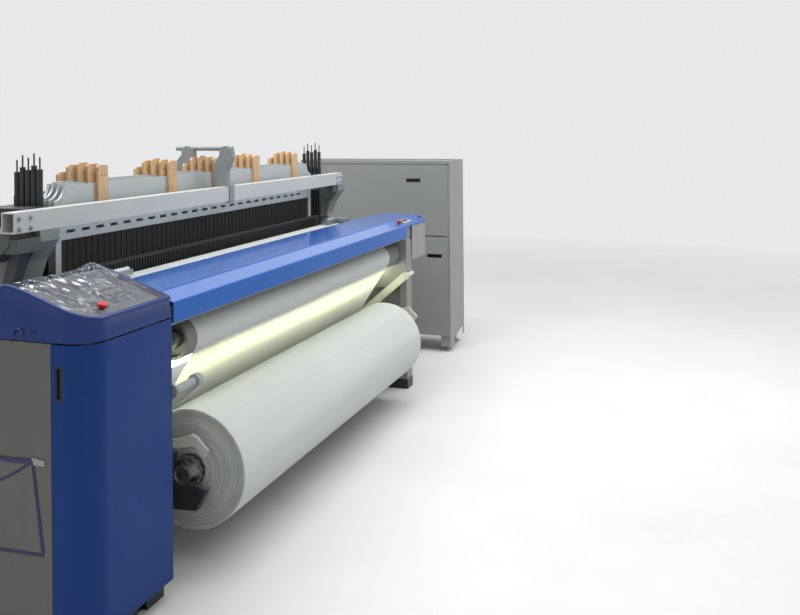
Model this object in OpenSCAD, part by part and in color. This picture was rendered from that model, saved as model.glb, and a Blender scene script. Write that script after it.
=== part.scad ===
// Shuttleless power loom, nominal 210 cm reed width, seen from the weaver's side.
// X runs along the width to the weaver's right, Y runs from the cloth side to the warp side, Z is up.
// The origin is on the floor, under the middle of the machine.

/* [Whole machine] */
// Overall width over the control cabinet and the drive cabinet
overall_w = 4414; // [4390:2:4540]
// Distance between the middles of the two side frames
frame_span = 2709; // [2700:1:2720]
// Thickness of a side frame
frame_t = 100; // [80:2:110]
// Place of the weaving centre, measured from the middle of the machine
weave_mid = -443; // [-446:1:-440]
// Width of the cloth
cloth_w = 2160; // [2000:10:2180]
// Height of the breast beam side of the frame
front_h = 930; // [920:2:940]

/* [Cloth side] */
// Radius of the wound cloth
roll_r = 223.5; // [120:0.5:223.5]
// Height of the middle of the cloth roll
roll_z = 346; // [340:2:360]
// Distance of the roll's middle in front of the machine's middle
roll_front = 726.5; // [700:0.5:726.5]
// Radius of the take-up roller
take_up_r = 75; // [60:1:78]
// Radius of the press roller behind it
press_r = 36; // [25:1:36]
// Thickness of the cloth web
cloth_t = 1.6; // [1:0.1:3]
// Swing radius of the arm that lies on the roll
press_arm_w = 45; // [30:1:50]

/* [Heald frames] */
// Number of heald frames
frame_count = 5; // [5]
// Spacing from frame to frame
frame_pitch = 24; // [24:1:26]
// Length of a heald frame
heald_l = 2345; // [2300:5:2345]
// Height of the top rail
top_rail_h = 130; // [100:5:140]
// Height of a wooden guide slat
slat_h = 180; // [150:5:185]
// Number of ridges that stand for the healds of one frame
heald_ridges = 60; // [20:1:80]

/* [Reed] */
// Height of the reed
reed_h = 100; // [80:1:110]
// Number of gaps in the reed wall
reed_gaps = 108; // [40:1:118]

/* [Warp side] */
// Radius of the warp beam flanges
flange_r = 385; // [350:5:390]
// Radius of the wound warp
warp_r = 330; // [200:5:340]
// Radius of the back-rest roller
back_rest_r = 65; // [50:1:70]

/* [Cabinets] */
// Width of the control cabinet
control_w = 444; // [420:2:446]
// Height of the drive cabinet
drive_h = 1380; // [1300:5:1400]
// Depth of the drive cabinet
drive_d = 1164; // [1000:4:1200]
// Thickness of the folded blue sheet covers
sheet_t = 3; // [2:0.5:4]

/* [Hidden] */
$fn = 48;

// Running and contact clearances
fit = 0.06;
gap = 0.5;

// Outer limits
left_x = -overall_w / 2 + 4;
right_x = overall_w / 2;
front_y = -804;

// Side frames: inner and outer faces
rf_in = 845;
rf_out = rf_in + frame_t;
lf_in = rf_in - frame_span + frame_t;
lf_out = lf_in - frame_t;
lf_mid = (lf_out + lf_in) / 2;
rf_mid = (rf_in + rf_out) / 2;
pocket_d = 33;
tower_z = 1260;
shoe_h = 60;
left_front = -765;

// Cloth path in the Y-Z plane
cloth_l = weave_mid - cloth_w / 2;
cloth_r = weave_mid + cloth_w / 2;
cloth_z = 1034;
fell_y = -352;
guide_r = 22;
guide_c = [-490, cloth_z - guide_r];
take_up_c = [-681.5, 835];
press_c = [-574, 806];
roll_c = [-roll_front, roll_z];
take_up_shaft_r = 20;
press_shaft_r = 15;

// Roll shaft, its holders and its latches
journal_r = 36;
barrel_r = 60;
holder_l = -1588;
holder_r = 817;
holder_t = 30;
latch_c = [-606, 441];
right_latch_shift = [-50, 27];
latch_pin_r = 6;

// Press arms: pivot, and the bar that lies on the back of the roll
arm_c = [-792, 702];
stub_r = 14.4;
bar_r = 12;
bar_a = 32;
bar_reach = roll_r + cloth_t + gap + bar_r + 1.5;
bar_c = roll_c + bar_reach * [cos(bar_a), sin(bar_a)];
arm_left_x = -1589;
arm_right_x = 805;
arm_t = 10;

// Inspection lamp
lamp_c = [-631, 735];
lamp_r = 14;

// Sley
rock_c = [-300, 640];
rock_r = 35;
reed_y = -290;
reed_t = 8;
reed_z = 985;
reed_w = 2180;
reed_x0 = weave_mid - reed_w / 2;
reed_x1 = weave_mid + reed_w / 2;

// Heald frames
first_rail_y = -216.5;
rail_t = 10;
rail_z = 1400 - top_rail_h;
level = [0, 6, 12, 4, -24];
heald_x = 702 - heald_l;
stay_w = 40;
lower_rail_z = 740;
lower_rail_h = 100;
heald_top = 1190;
slat_w = 64;
slat_t = 12;
slat_z = 1290;
slat_x = [-920, -410, -10, 410, 900];
slat_shift = -30;

// Top beams
beam_x0 = -1989;
beam_x1 = 915;
beam_y = -341.5;
beam_d = 55;
beam_z = 1260;
beam_h = 72;
beam_t = 5;
rear_beam_y = -86;

// Centre arch
arch_x = -519;
arch_w = 44;
arch_tube_z = 1518;

// Warp side
warp_l = -1553;
warp_rt = 667;
back_rest_c = [440, cloth_z - back_rest_r];
beam_c = [565, 520];
gudgeon_r = 30;
back_shaft_r = 25;
flange_t = 25;

// Control cabinet
cc_x0 = left_x;
cc_x1 = left_x + control_w;
post_y = -665;
cc_back = -91.5;
cc_z0 = 64;
cc_z1 = 962;
post_z1 = 960;
corner_r = 90;
door_pin = [cc_x1 - 12, front_y + 12];
door_pin_r = 4;

// Hood and sloping control panel
hood_z = 966;
hood_back = -330;
hood_peak_y = -492;
hood_peak_z = 1135;
panel_origin_y = -768;
panel_origin_z = 1038;
panel_slope = 18.9;
panel_d = 270;
panel_r = 60;
panel_x0 = cc_x0 + 26;
panel_w = control_w - 46;
stop_x = left_x + 140;
stop_s = 27;

// Drive cabinet
dc_x0 = right_x - 387;
dc_y1 = front_y + drive_d;
dc_z0 = 118;
seam_z = 822;
lid_t = 25;

// Breast beam cover: points along the outside of the fold, from the front lower edge to the back edge
cover_x0 = cc_x1 + 8;
cover_x1 = 1235;
apron_x1 = 835;
apron_z = 940;
lip_z = 1002;
cover_out = [
    [front_y, apron_z], [front_y, 1007], [front_y + 2, 1013], [front_y + 8, 1016],
    [-728, 1038], [-724, 1044], [-560, 1051], [-502, 1053]
];
facet_a = atan2(22, 68);

// Helpers: boxes by their limits, rods along X, and Y-Z profiles drawn out along X
module box(x0, x1, y0, y1, z0, z1) translate([x0, y0, z0]) cube([x1 - x0, y1 - y0, z1 - z0]);
module rod_x(x0, x1, c, r) translate([x0, c[0], c[1]]) rotate([0, 90, 0]) cylinder(h = x1 - x0, r = r);
module along_x(x0, x1) translate([x0, 0, 0]) rotate([90, 0, 90]) linear_extrude(x1 - x0) children();
module left_copy() {
    $face = lf_in;
    children();
}
module right_copy() {
    $face = 2 * weave_mid - rf_in;
    translate([2 * weave_mid, 0, 0]) mirror([1, 0, 0]) children();
}
module mirror_pair() {
    left_copy() children();
    right_copy() children();
}
function polar(r, a) = r * [cos(a), sin(a)];
function arc(c, r, a0, a1, n) = [for (i = [0:n]) c + polar(r, a0 + (a1 - a0) * i / n)];
function turn(v) = atan2(v[1], v[0]);
function inward(p, t) = [
    for (i = [0:len(p) - 1])
        let (a = p[max(i - 1, 0)], b = p[min(i + 1, len(p) - 1)], d = (b - a) / norm(b - a))
        p[i] + t * [d[1], -d[0]]
];
function reverse(p) = [for (i = [len(p) - 1:-1:0]) p[i]];

// Cast side frame: profile with blind pockets on both faces, bored for each shaft
module frame_profile(y0) {
    polygon([
        [y0, shoe_h], [y0, front_h - 20], [y0 + 10, front_h], [-330, front_h], [-300, 1000], [-262, 1080],
        [-290, 1150], [-341, 1220], [-341, tower_z], [-31, tower_z], [-31, 1180], [30, 1040],
        [520, 1040], [600, 940], [632, 600], [632, 430], [600, 300], [690, shoe_h],
        [480, shoe_h], [430, 170], [-540, 170], [-600, shoe_h]
    ]);
}

module frame_pockets() {
    polygon([[-750, 220], [-750, 640], [-480, 600], [-480, 220]]);
    polygon([[-430, 220], [-430, 560], [-90, 560], [-90, 220]]);
    polygon([[-40, 220], [-40, 600], [300, 740], [430, 600], [430, 220]]);
    polygon([[-200, 720], [-200, 1180], [-90, 1180], [-30, 990], [-30, 720]]);
    polygon([[20, 700], [20, 980], [330, 980], [330, 790]]);
}

module side_frame(x0, y0, with_arm) {
    difference() {
        union() {
            along_x(x0, x0 + frame_t) frame_profile(y0);
            rod_x(x0, x0 + frame_t, beam_c, 92);
            rod_x(x0, x0 + frame_t, back_rest_c, 80);
        }
        along_x(x0 - 1, x0 + pocket_d) frame_pockets();
        along_x(x0 + frame_t - pocket_d, x0 + frame_t + 1) frame_pockets();
        if (with_arm) rod_x(x0 - 1, x0 + frame_t + 1, arm_c, stub_r + fit);
        rod_x(x0 - 1, x0 + frame_t + 1, take_up_c, take_up_shaft_r + fit);
        rod_x(x0 - 1, x0 + frame_t + 1, press_c, press_shaft_r + fit);
        rod_x(x0 - 1, x0 + frame_t + 1, rock_c, rock_r + fit);
        rod_x(x0 - 1, x0 + frame_t + 1, back_rest_c, back_shaft_r + fit);
        rod_x(x0 - 1, x0 + frame_t + 1, beam_c, gudgeon_r + fit);
    }
}

// The left frame stops short behind the corner cover and carries its hinge pins and the arm bearing
module bar_bracket(x0, x1, face) {
    box(min(x0, face), max(x0, face), -512, -425, 860, 925);
    box(x0, x1, -512, -425, 860, cloth_z);
}
module side_frame_left() color([0.50, 0.52, 0.50]) {
    side_frame(lf_out, left_front, false);
    bar_bracket(lf_in + 14, lf_in + 26, lf_in - 6);
    box(lf_in - 6, lf_in + 25, left_front + 5, left_front + 30, 676, 728);
    difference() {
        union() {
            box(lf_in + 13, lf_in + 25, arm_c[0], left_front + 30, 680, 724);
            rod_x(lf_in + 13, lf_in + 25, arm_c, 24);
        }
        rod_x(lf_in + 12, lf_in + 26, arm_c, stub_r + fit);
    }
    box(lf_in - 6, lf_in + 41, left_front + 3, left_front + 60, 880, front_h);
    for (z = [cc_z0 + 60, cc_z1 - 80]) {
        box(door_pin[0] - 6, door_pin[0] + 6, door_pin[1] - 6, left_front + 8, z, z + 8);
        translate([door_pin[0], door_pin[1], z]) cylinder(h = 30, r = door_pin_r);
    }
}
module side_frame_right() color([0.50, 0.52, 0.50]) {
    side_frame(rf_in, -795, true);
    bar_bracket(rf_in - 26, rf_in + 6, rf_in + 6);
}

// Square and round members that tie the side frames together, with the rear top beam on the towers
module cross_beams() color([0.50, 0.52, 0.50]) {
    box(lf_in, rf_in, -470, -400, 175, 265);
    box(lf_in, rf_in, 30, 110, 175, 265);
    box(lf_in, rf_in, -180, -60, 640, 700);
    rod_x(lf_in, rf_in, [250, 900], 45);
    top_tube(lf_out + 10, rf_out - 10, rear_beam_y);
}

// Block under each end of a side frame, with a flange to the outside that takes the floor anchor
anchor_dx = 67;
anchor_y = [-699, 595];
anchor_r = 9;
plate_t = 18;
module foot(x, out, y, bolt_y) {
    box(x - 50, x + 50, y[0], y[1], 0, shoe_h);
    difference() {
        box(min(x, x + out * 84), max(x, x + out * 84), bolt_y - 45, bolt_y + 45, 0, plate_t);
        translate([x + out * anchor_dx, bolt_y, -1]) cylinder(h = plate_t + 2, r = anchor_r);
    }
}
module levelling_feet() color([0.10, 0.10, 0.11]) {
    foot(lf_mid, -1, [left_front, -600], anchor_y[0]);
    foot(rf_mid, 1, [-798, -600], anchor_y[0]);
    for (i = [0, 1]) foot([lf_mid, rf_mid][i], 2 * i - 1, [500, 690], anchor_y[1]);
}

// Breast beam: box section behind the cover's apron
module breast_beam() color([0.50, 0.52, 0.50]) difference() {
    box(lf_in + 14, rf_out, -790, -700, front_h, 1000);
    box(lf_in + 13, rf_out + 1, -784, -706, front_h + 6, 994);
}

// Folded cover over the breast beam, with a lip that runs on to the right of its apron
module breast_beam_cover() color([0.16, 0.28, 0.55]) difference() {
    union() {
        along_x(cover_x0, cover_x1) polygon(concat(cover_out, reverse(inward(cover_out, sheet_t))));
        box(cover_x0, apron_x1, front_y, front_y + 12, apron_z, apron_z + sheet_t);
        box(cover_x1 - sheet_t, cover_x1, front_y + 20, -510, 1022, 1036);
    }
    box(apron_x1, cover_x1 + 1, front_y - 1, front_y + 30, apron_z - 1, lip_z);
    translate([cover_x1 - 35, front_y - 1, 990]) rotate([0, 0, 45]) translate([0, -60, 0]) cube([80, 60, 60]);
    button_place(stop_right_x - plate_x, stop_right_v, -30) cylinder(h = 60, r = 8.5);
    for (u = button_u) button_place(u, button_v, -12) cylinder(h = 24, r = 7.5);
}

module cloth_guide_bar() color([0.75, 0.77, 0.78]) rod_x(lf_in + 26, rf_in - 26, guide_c, guide_r);

// Take-up roller with a stepped end and its shaft
module take_up_roller() color([0.48, 0.49, 0.48]) {
    difference() {
        rod_x(cloth_l - 58, rf_in - 8, take_up_c, take_up_r);
        rod_x(cloth_l - 59, cloth_l - 36, take_up_c, take_up_r - 12);
    }
    rod_x(cloth_l - 70, cloth_l - 30, take_up_c, take_up_r - 40);
    rod_x(rf_in - 24, rf_in - 8, take_up_c, take_up_r + 5);
    rod_x(lf_out, rf_out, take_up_c, take_up_shaft_r);
}

module press_roller() color([0.14, 0.14, 0.15]) {
    rod_x(cloth_l, cloth_r, press_c, press_r);
    rod_x(lf_out, rf_out, press_c, press_shaft_r);
}

// Cloth from the fell over the guide bar, down the front of the take-up roller and on to the back of the roll
guide_leave = turn(take_up_c - guide_c) - acos((guide_r - take_up_r) / norm(take_up_c - guide_c));
web_mid = gap + cloth_t / 2;
take_up_leave = turn(roll_c - take_up_c) - acos((take_up_r + roll_r + 2 * web_mid) / norm(roll_c - take_up_c));
roll_meet = take_up_leave + 180;
function web_side(t) = concat(
    [[fell_y, cloth_z + gap + t]],
    arc(guide_c, guide_r + gap + t, 90, 360 + guide_leave, 4),
    arc(take_up_c, take_up_r + gap + t, 360 + guide_leave, 360 + take_up_leave, 12),
    [roll_c + (roll_r + gap + cloth_t - t) * [cos(roll_meet), sin(roll_meet)]]
);
module cloth_web() color([0.80, 0.82, 0.83]) {
    along_x(cloth_l, cloth_r) polygon(concat(web_side(0), reverse(web_side(cloth_t))));
}

// Wound cloth: the turns stand slightly proud of each other on the end faces
roll_steps = 9;
function roll_edge(i) = 3 * ((i * 5) % 3);
module cloth_roll() color([0.80, 0.82, 0.83]) {
    step = (roll_r - barrel_r) / roll_steps;
    ring = [
        for (i = [0:roll_steps - 1]) each [
            [barrel_r + i * step, roll_edge(i)], [barrel_r + (i + 1) * step, roll_edge(i)]
        ]
    ];
    other = [for (p = reverse(ring)) [p[0], cloth_w - p[1]]];
    translate([cloth_l, roll_c[0], roll_c[1]]) rotate([0, 90, 0])
        rotate_extrude($fn = 96) polygon(concat(ring, other));
}

// Shaft under the cloth: barrel, collars with a notched ring, and journals with hollow ends
module cloth_roll_shaft() color([0.45, 0.46, 0.47]) {
    difference() {
        rod_x(holder_l - 4, holder_r + 4, roll_c, journal_r);
        rod_x(holder_l - 5, holder_l - 1, roll_c, journal_r - 10);
        rod_x(holder_r + 1, holder_r + 5, roll_c, journal_r - 10);
    }
    rod_x(cloth_l, cloth_r, roll_c, barrel_r);
    mirror_pair() {
        difference() {
            rod_x(holder_l + holder_t + 4, cloth_l - 8, roll_c, 56);
            for (a = [0:30:330]) rod_x(holder_l, cloth_l, roll_c + 56 * [cos(a), sin(a)], 6);
        }
        rod_x(cloth_l - 8, cloth_l, roll_c, 44);
    }
}

// Cast holder under each journal, with the seat open to the front, its arm and the latch pin
module holder(x, face, shift) {
    difference() {
        union() {
            along_x(x, x + holder_t) polygon([
                [-828, 303], [-786, 224], [-600, 215], [-580, 230],
                [-580, 420], [-700, 420], [-700, 318], [-760, 318]
            ]);
            along_x(x + 2, x + 14)
                polygon([[-640, 400], [-580, 400], [-586, 462 + shift[1]], [-650 + shift[0], 462 + shift[1]]]);
        }
        rod_x(x - 1, x + holder_t + 1, roll_c, journal_r + 0.3);
        box(x - 1, x + holder_t + 1, -760, roll_c[0] + journal_r + 0.3, roll_c[1], 500);
        rod_x(x - 1, x + holder_t + 1, [-786, 282], 9);
    }
    rod_x(min(face, x), max(face, x), [-630, 300], 28);
    rod_x(x + 2, x + holder_t, latch_c + shift, latch_pin_r);
}
module roll_holders() color([0.20, 0.21, 0.22]) {
    holder(holder_l, lf_in - pocket_d, [0, 0]);
    translate([holder_r + holder_l, 0, 0]) mirror([1, 0, 0])
        holder(holder_l, holder_r + holder_l - rf_in - pocket_d, right_latch_shift);
}

// Hooked latch over the journal
module latch() difference() {
    union() {
        along_x(holder_l + 15, holder_l + holder_t - 2) polygon([
            [-600, 426], [-592, 441], [-602, 457], [-690, 468], [-762, 492], [-780, 486],
            [-828, 440], [-811, 411], [-772, 452], [-690, 438]
        ]);
        rod_x(holder_l + 15, holder_l + holder_t - 2, latch_c, 15.5);
    }
    rod_x(holder_l - 1, holder_l + holder_t + 1, latch_c, latch_pin_r + fit);
}
module roll_latch_left() color([0.85, 0.84, 0.74]) latch();
module roll_latch_right() color([0.85, 0.84, 0.74])
    translate([holder_r + holder_l, right_latch_shift[0], right_latch_shift[1]]) mirror([1, 0, 0]) latch();

// Two clamped arms on stub tubes, joined by the bar that rides on the roll
module press_arm(x, x0, x1) {
    d = bar_c - arm_c;
    translate([x, arm_c[0], arm_c[1]]) rotate([turn(d), 0, 0]) {
        box(0, arm_t, 0, norm(d), -press_arm_w / 2, press_arm_w / 2);
        rod_x(0, arm_t, [norm(d), 0], press_arm_w / 2);
    }
    rod_x(x0, x1, arm_c, 24);
}
module press_arms() color([0.80, 0.80, 0.72]) {
    press_arm(arm_left_x, arm_left_x - 17, arm_left_x + arm_t - 1);
    press_arm(arm_right_x, arm_right_x + 1, arm_right_x + arm_t + 17);
    rod_x(lf_in + 12, arm_left_x + arm_t - 2, arm_c, stub_r);
    rod_x(arm_right_x + 2, rf_out + 18, arm_c, stub_r);
    rod_x(arm_left_x + 4, arm_right_x + arm_t - 4, bar_c, bar_r);
}

// Lamp tube under a curved reflector, on end rods
module inspection_lamp() color([0.90, 0.93, 0.80]) {
    rod_x(lf_in + 40, rf_in - 40, lamp_c, lamp_r);
    rod_x(lf_in, lf_in + 41, lamp_c, 8);
    rod_x(rf_in - 41, rf_in, lamp_c, 8);
    difference() {
        rod_x(lf_in + 44, rf_in - 44, lamp_c, 26);
        rod_x(lf_in + 43, rf_in - 43, lamp_c, 24);
        box(lf_in, rf_in, lamp_c[0] - 40, lamp_c[0] + 4, lamp_c[1] - 40, lamp_c[1] + 40);
    }
    for (x = [lf_in + 36, rf_in - 46]) rod_x(x, x + 10, lamp_c, 26);
}

// Grey sheet housing of the controls, narrower in front where the corner cover closes over it
module control_cabinet() color([0.42, 0.42, 0.38]) {
    box(cc_x0, lf_out - 4, post_y + 1, cc_back, cc_z0, cc_z1);
    difference() {
        box(cc_x0 + 40, lf_out - 4, front_y + 40, post_y + 1.5, cc_z0, cc_z1 - 6);
        box(cc_x0 + 90, cc_x0 + 250, front_y + 39, front_y + 60, 420, 640);
    }
    for (y = [-641, -517])
        translate([cc_x0 - 2.5, y, cc_z1 - 5]) rotate([0, 90, 0]) cylinder(h = 4, r = 5);
}

// Black recessed plinth with foot blocks
module cabinet_base() color([0.05, 0.05, 0.05]) {
    box(cc_x0 + 40, lf_out - 40, front_y + 40, cc_back - 20, 34, cc_z0);
    for (x = [cc_x0 + 40, lf_out - 116])
        for (y = [front_y + 44, cc_back - 110]) box(x, x + 70, y, y + 70, 0, 34.5);
}

// Blue corner cover: left side, round corner, front and a returned edge, with lugs on the hinge pins
latch_y0 = -708;
latch_y1 = -682;
module post_outline(inset) {
    r = corner_r - inset;
    polygon(concat(
        [[cc_x0 + inset, post_y]],
        arc([cc_x0 + corner_r, front_y + corner_r], r, 180, 270, 20),
        arc([cc_x1 - 8, front_y + 8], 8 - inset, 270, 360, 4),
        [[cc_x1 - inset, front_y + 34], [cc_x1 - inset, post_y]]
    ));
}
module post_cover() color([0.13, 0.24, 0.47]) {
    difference() {
        translate([0, 0, cc_z0 + 2]) linear_extrude(post_z1 - cc_z0 - 2) difference() {
            post_outline(0);
            post_outline(sheet_t);
        }
        box(cc_x1 - 20, cc_x1 + 1, front_y + 34, post_y + 1, 0, 1000);
        box(cc_x0 - 1, cc_x0 + 5, latch_y0, latch_y1, 791, 895);
        for (z = [cc_z0 + 55, cc_z1 - 85]) box(cc_x1 - 6, cc_x1 + 1, front_y + 3, front_y + 40, z, z + 14.5);
    }
    for (z = [cc_z0 + 70, cc_z1 - 70]) difference() {
        box(door_pin[0] - 9, cc_x1 - sheet_t, front_y + sheet_t, door_pin[1] + 8, z, z + 14);
        translate([door_pin[0], door_pin[1], z - 1]) cylinder(h = 16, r = door_pin_r + fit);
    }
}

// Black flush latch set into the side of the corner cover
module post_latch() color([0.03, 0.03, 0.04]) difference() {
    box(cc_x0 + 0.5, cc_x0 + 12, latch_y0, latch_y1, 791, 895);
    box(cc_x0 - 1, cc_x0 + 7, latch_y0 + 4, latch_y1 - 4, 797, 889);
}

// Moulded hood: rounded shell, recessed on its sloping top
module hood_form(inset) {
    r1 = corner_r + 1 - inset;
    r2 = 12 - inset;
    hull() {
        translate([cc_x0 + corner_r, front_y + corner_r, hood_z - 1]) cylinder(h = 40, r = r1, $fn = 32);
        translate([cc_x0 + corner_r, front_y + corner_r, hood_z]) cylinder(h = 56, r = r1 - 9, $fn = 32);
        translate([cc_x1 - 12, front_y + 12, hood_z - 1]) cylinder(h = 40, r = r2, $fn = 32);
        translate([cc_x1 - 12, front_y + 14, 1014]) sphere(r = r2, $fn = 32);
        for (x = [cc_x0 + 11, cc_x1 - 12]) {
            translate([x, hood_back - 12, hood_z - 1]) cylinder(h = 10, r = r2, $fn = 32);
            translate([x, hood_peak_y, hood_peak_z - 12]) sphere(r = r2, $fn = 32);
            translate([x, hood_back - 12, 1048]) sphere(r = r2, $fn = 32);
        }
    }
}
module panel_place(u, v, w) translate([panel_x0 + u, panel_origin_y, panel_origin_z])
    rotate([panel_slope, 0, 0]) translate([0, v, w]) children();
module panel_shape(inset, h) {
    translate([panel_r, inset, 0]) cube([panel_w - panel_r - inset, panel_d - 2 * inset, h]);
    translate([inset, panel_r, 0]) cube([panel_w - 2 * inset, panel_d - panel_r - inset, h]);
    translate([panel_r, panel_r, 0]) cylinder(h = h, r = panel_r - inset);
}
module hood() color([0.12, 0.20, 0.50]) difference() {
    hood_form(0);
    hood_form(4);
    panel_place(0, 0, -30) panel_shape(0, 90);
    translate([cc_x0 - 3, -596, 998]) rotate([0, 90, 0]) cylinder(h = 12, r = 5);
    box(cc_x0 - 3, cc_x0 + 8, -562, -529, hood_z - 4, 989);
}

// Control panel: plate in the hood's recess with a screen, keys and the collar of the stop button
module control_panel() color([0.45, 0.47, 0.50]) {
    difference() {
        panel_place(0, 0, -12) panel_shape(0.5, 6);
        panel_place(stop_x - panel_x0, stop_s, -20) cylinder(h = 30, r = 8.5);
    }
    panel_place(190, 130, -6.5) difference() {
        cube([170, 110, 4.5]);
        translate([10, 10, 2]) cube([150, 90, 3]);
    }
    for (i = [0:5]) for (j = [0:2]) panel_place(206 + 22 * i, 46 + 22 * j, -6.5) cube([16, 14, 3.5]);
    difference() {
        panel_place(stop_x - panel_x0, stop_s, -6.5) cylinder(h = 4.5, r = 24);
        panel_place(stop_x - panel_x0, stop_s, -7) cylinder(h = 7, r = 8.5);
    }
}

// Clear film laid over the panel, cut out round the stop button
module film_cover() color([0.85, 0.88, 0.92, 0.4]) difference() {
    panel_place(0, 0, 1) panel_shape(2, 1.5);
    panel_place(stop_x - panel_x0, stop_s, 0) cylinder(h = 4, r = 26);
}

// Mushroom stop buttons: a stem in a hole and a domed head
module stop_button() {
    cylinder(h = 26, r = 8);
    translate([0, 0, 18]) cylinder(h = 6, r1 = 14, r2 = 17);
    translate([0, 0, 24]) cylinder(h = 5, r = 17);
    translate([0, 0, 29]) cylinder(h = 3, r1 = 17, r2 = 13);
}
module stop_button_left() color([0.80, 0.08, 0.06]) panel_place(stop_x - panel_x0, stop_s, -12) stop_button();

stop_right_x = 803;
stop_right_v = 36.8;
module stop_button_right() color([0.80, 0.08, 0.06])
    button_place(stop_right_x - plate_x, stop_right_v, -11) stop_button();

// Small plate with two push buttons on the front facet of the cover
plate_x = 857;
button_u = [34, 84];
button_v = 40;
module button_place(u, v, w) translate([plate_x, front_y + 8, 1016])
    rotate([facet_a, 0, 0]) translate([u, v, w]) children();
module button_plate() color([0.72, 0.74, 0.72]) difference() {
    button_place(0, 16, 0.5) cube([150, 46, 4]);
    for (u = button_u) button_place(u, button_v, -2) cylinder(h = 12, r = 7.5);
}
module push_button(u) button_place(u, button_v, -8) {
    cylinder(h = 20, r = 7);
    translate([0, 0, 15]) cylinder(h = 6, r = 9);
}
module start_button() color([0.15, 0.45, 0.25]) push_button(button_u[0]);
module inching_button() color([0.12, 0.12, 0.13]) push_button(button_u[1]);

// Clear pocket with a piped edge on the side of the control cabinet
pocket_y0 = -627;
pocket_z0 = 300;
module document_pocket() color([0.25, 0.28, 0.50]) {
    x0 = cc_x0 - 4;
    difference() {
        box(x0, cc_x0 - 0.5, pocket_y0, pocket_y0 + 236, pocket_z0, pocket_z0 + 308);
        box(x0 - 1, cc_x0 - 2, pocket_y0 + 6, pocket_y0 + 230, pocket_z0 + 6, pocket_z0 + 302);
    }
}

// Drive cabinet: welded housing with a cut-away skirt in front, standing on levelling screws
module drive_cabinet() color([0.50, 0.52, 0.50]) {
    box(dc_x0, right_x, front_y + sheet_t, dc_y1, dc_z0, drive_h - lid_t);
    translate([0, front_y + sheet_t, 0]) rotate([90, 0, 0]) linear_extrude(sheet_t) polygon([
        [dc_x0, 36], [dc_x0 + 100, 36], [dc_x0 + 124, 80], [right_x - 40, 127], [right_x - 34, 60],
        [right_x, 60], [right_x, drive_h - lid_t], [dc_x0, drive_h - lid_t]
    ]);
    box(dc_x0, dc_x0 + 3, front_y + sheet_t, front_y + 70, 36, dc_z0);
    for (x = [dc_x0 + 40, right_x - 50]) for (y = [front_y + 60, dc_y1 - 60]) {
        translate([x, y, 12]) cylinder(h = dc_z0 - 12, r = 12);
        translate([x, y, 0]) cylinder(h = 14, r1 = 34, r2 = 28);
        translate([x, y, dc_z0 - 22]) cylinder(h = 14, r = 22, $fn = 6);
    }
    for (z = [426, 597, 713])
        translate([dc_x0 + 20, front_y + 2, z]) rotate([90, 0, 0]) cylinder(h = 4.5, r = 6);
}
module drive_cabinet_lid() color([0.62, 0.64, 0.62]) difference() {
    box(dc_x0 - 10, right_x, front_y, dc_y1 + 6, drive_h - lid_t, drive_h);
    box(dc_x0 + 12, right_x - 22, front_y + 22, dc_y1 - 16, drive_h - 8, drive_h + 1);
}

// Lift-off upper and lower covers on the loom side of the drive cabinet, each with a recessed pull
module pull_recess(x, y, z, d) box(x - 1, x + d, y, y + 109, z, z + 26);
module upper_side_cover() color([0.53, 0.55, 0.53]) difference() {
    box(dc_x0 - 8, dc_x0, front_y + 12, dc_y1 - 40, seam_z + 14, drive_h - lid_t - 4);
    pull_recess(dc_x0 - 8, -588, 1222, 6);
    box(dc_x0 - 9, dc_x0 + 1, -282, 302, seam_z + 13, 863);
}
module lower_side_cover() color([0.50, 0.52, 0.50]) difference() {
    along_x(dc_x0 - 20, dc_x0)
        polygon([[front_y + 12, dc_z0], [front_y + 12, seam_z], [-290, seam_z], [-290, dc_z0]]);
    pull_recess(dc_x0 - 20, -748, 678, 16);
}

// Sheet end cover between the right side frame and the open bay, folded round its outer edge
module end_cover() color([0.60, 0.62, 0.60]) {
    box(rf_out + 1, 1225, front_y + 4, front_y + 7, 784, 1000);
    box(1222, 1225, front_y + 6, -560, 784, 1000);
    box(rf_out + 1, 1223, front_y + 6, -560, 997, 1000);
}

// Cast housing of the main drive, from the right side frame to the drive cabinet
module drive_housing() color([0.46, 0.48, 0.46]) {
    box(rf_out, dc_x0, -280, 300, 150, 860);
    for (x = [rf_out + 140, rf_out + 400, rf_out + 660]) box(x, x + 24, -300, 320, 150, 880);
    rod_x(rf_out, rf_out + 60, [-480, 700], 120);
    box(rf_out, rf_out + 60, -480, -280, 620, 780);
    translate([rf_out + 280, 300, 480]) rotate([-90, 0, 0]) cylinder(h = 260, r = 130);
    translate([rf_out + 280, 560, 480]) rotate([-90, 0, 0]) cylinder(h = 30, r = 115);
    for (a = [0:30:330]) translate([rf_out + 280, 320, 480]) rotate([0, a, 0]) box(-4, 4, 0, 220, 120, 146);
}

// Hollow top beam in front of the heald frames
module top_tube(x0, x1, y) difference() {
    box(x0, x1, y, y + beam_d, beam_z, beam_z + beam_h);
    box(x0 - 1, x1 + 1, y + beam_t, y + beam_d - beam_t, beam_z + beam_t, beam_z + beam_h - beam_t);
}
module top_beam() color([0.62, 0.65, 0.66]) top_tube(beam_x0, beam_x1, beam_y);
bolt_x = [beam_x0 + 25, beam_x0 + 81, beam_x1 - 83, beam_x1 - 27];
module beam_bolts() color([0.70, 0.72, 0.74]) {
    for (x = bolt_x) for (z = [beam_z + 15, beam_z + 52]) {
        translate([x, beam_y, z]) rotate([90, 0, 0]) cylinder(h = 3, r = 11);
        translate([x, beam_y - 3, z]) rotate([90, 0, 0]) cylinder(h = 7, r = 7.5, $fn = 6);
    }
}

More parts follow.
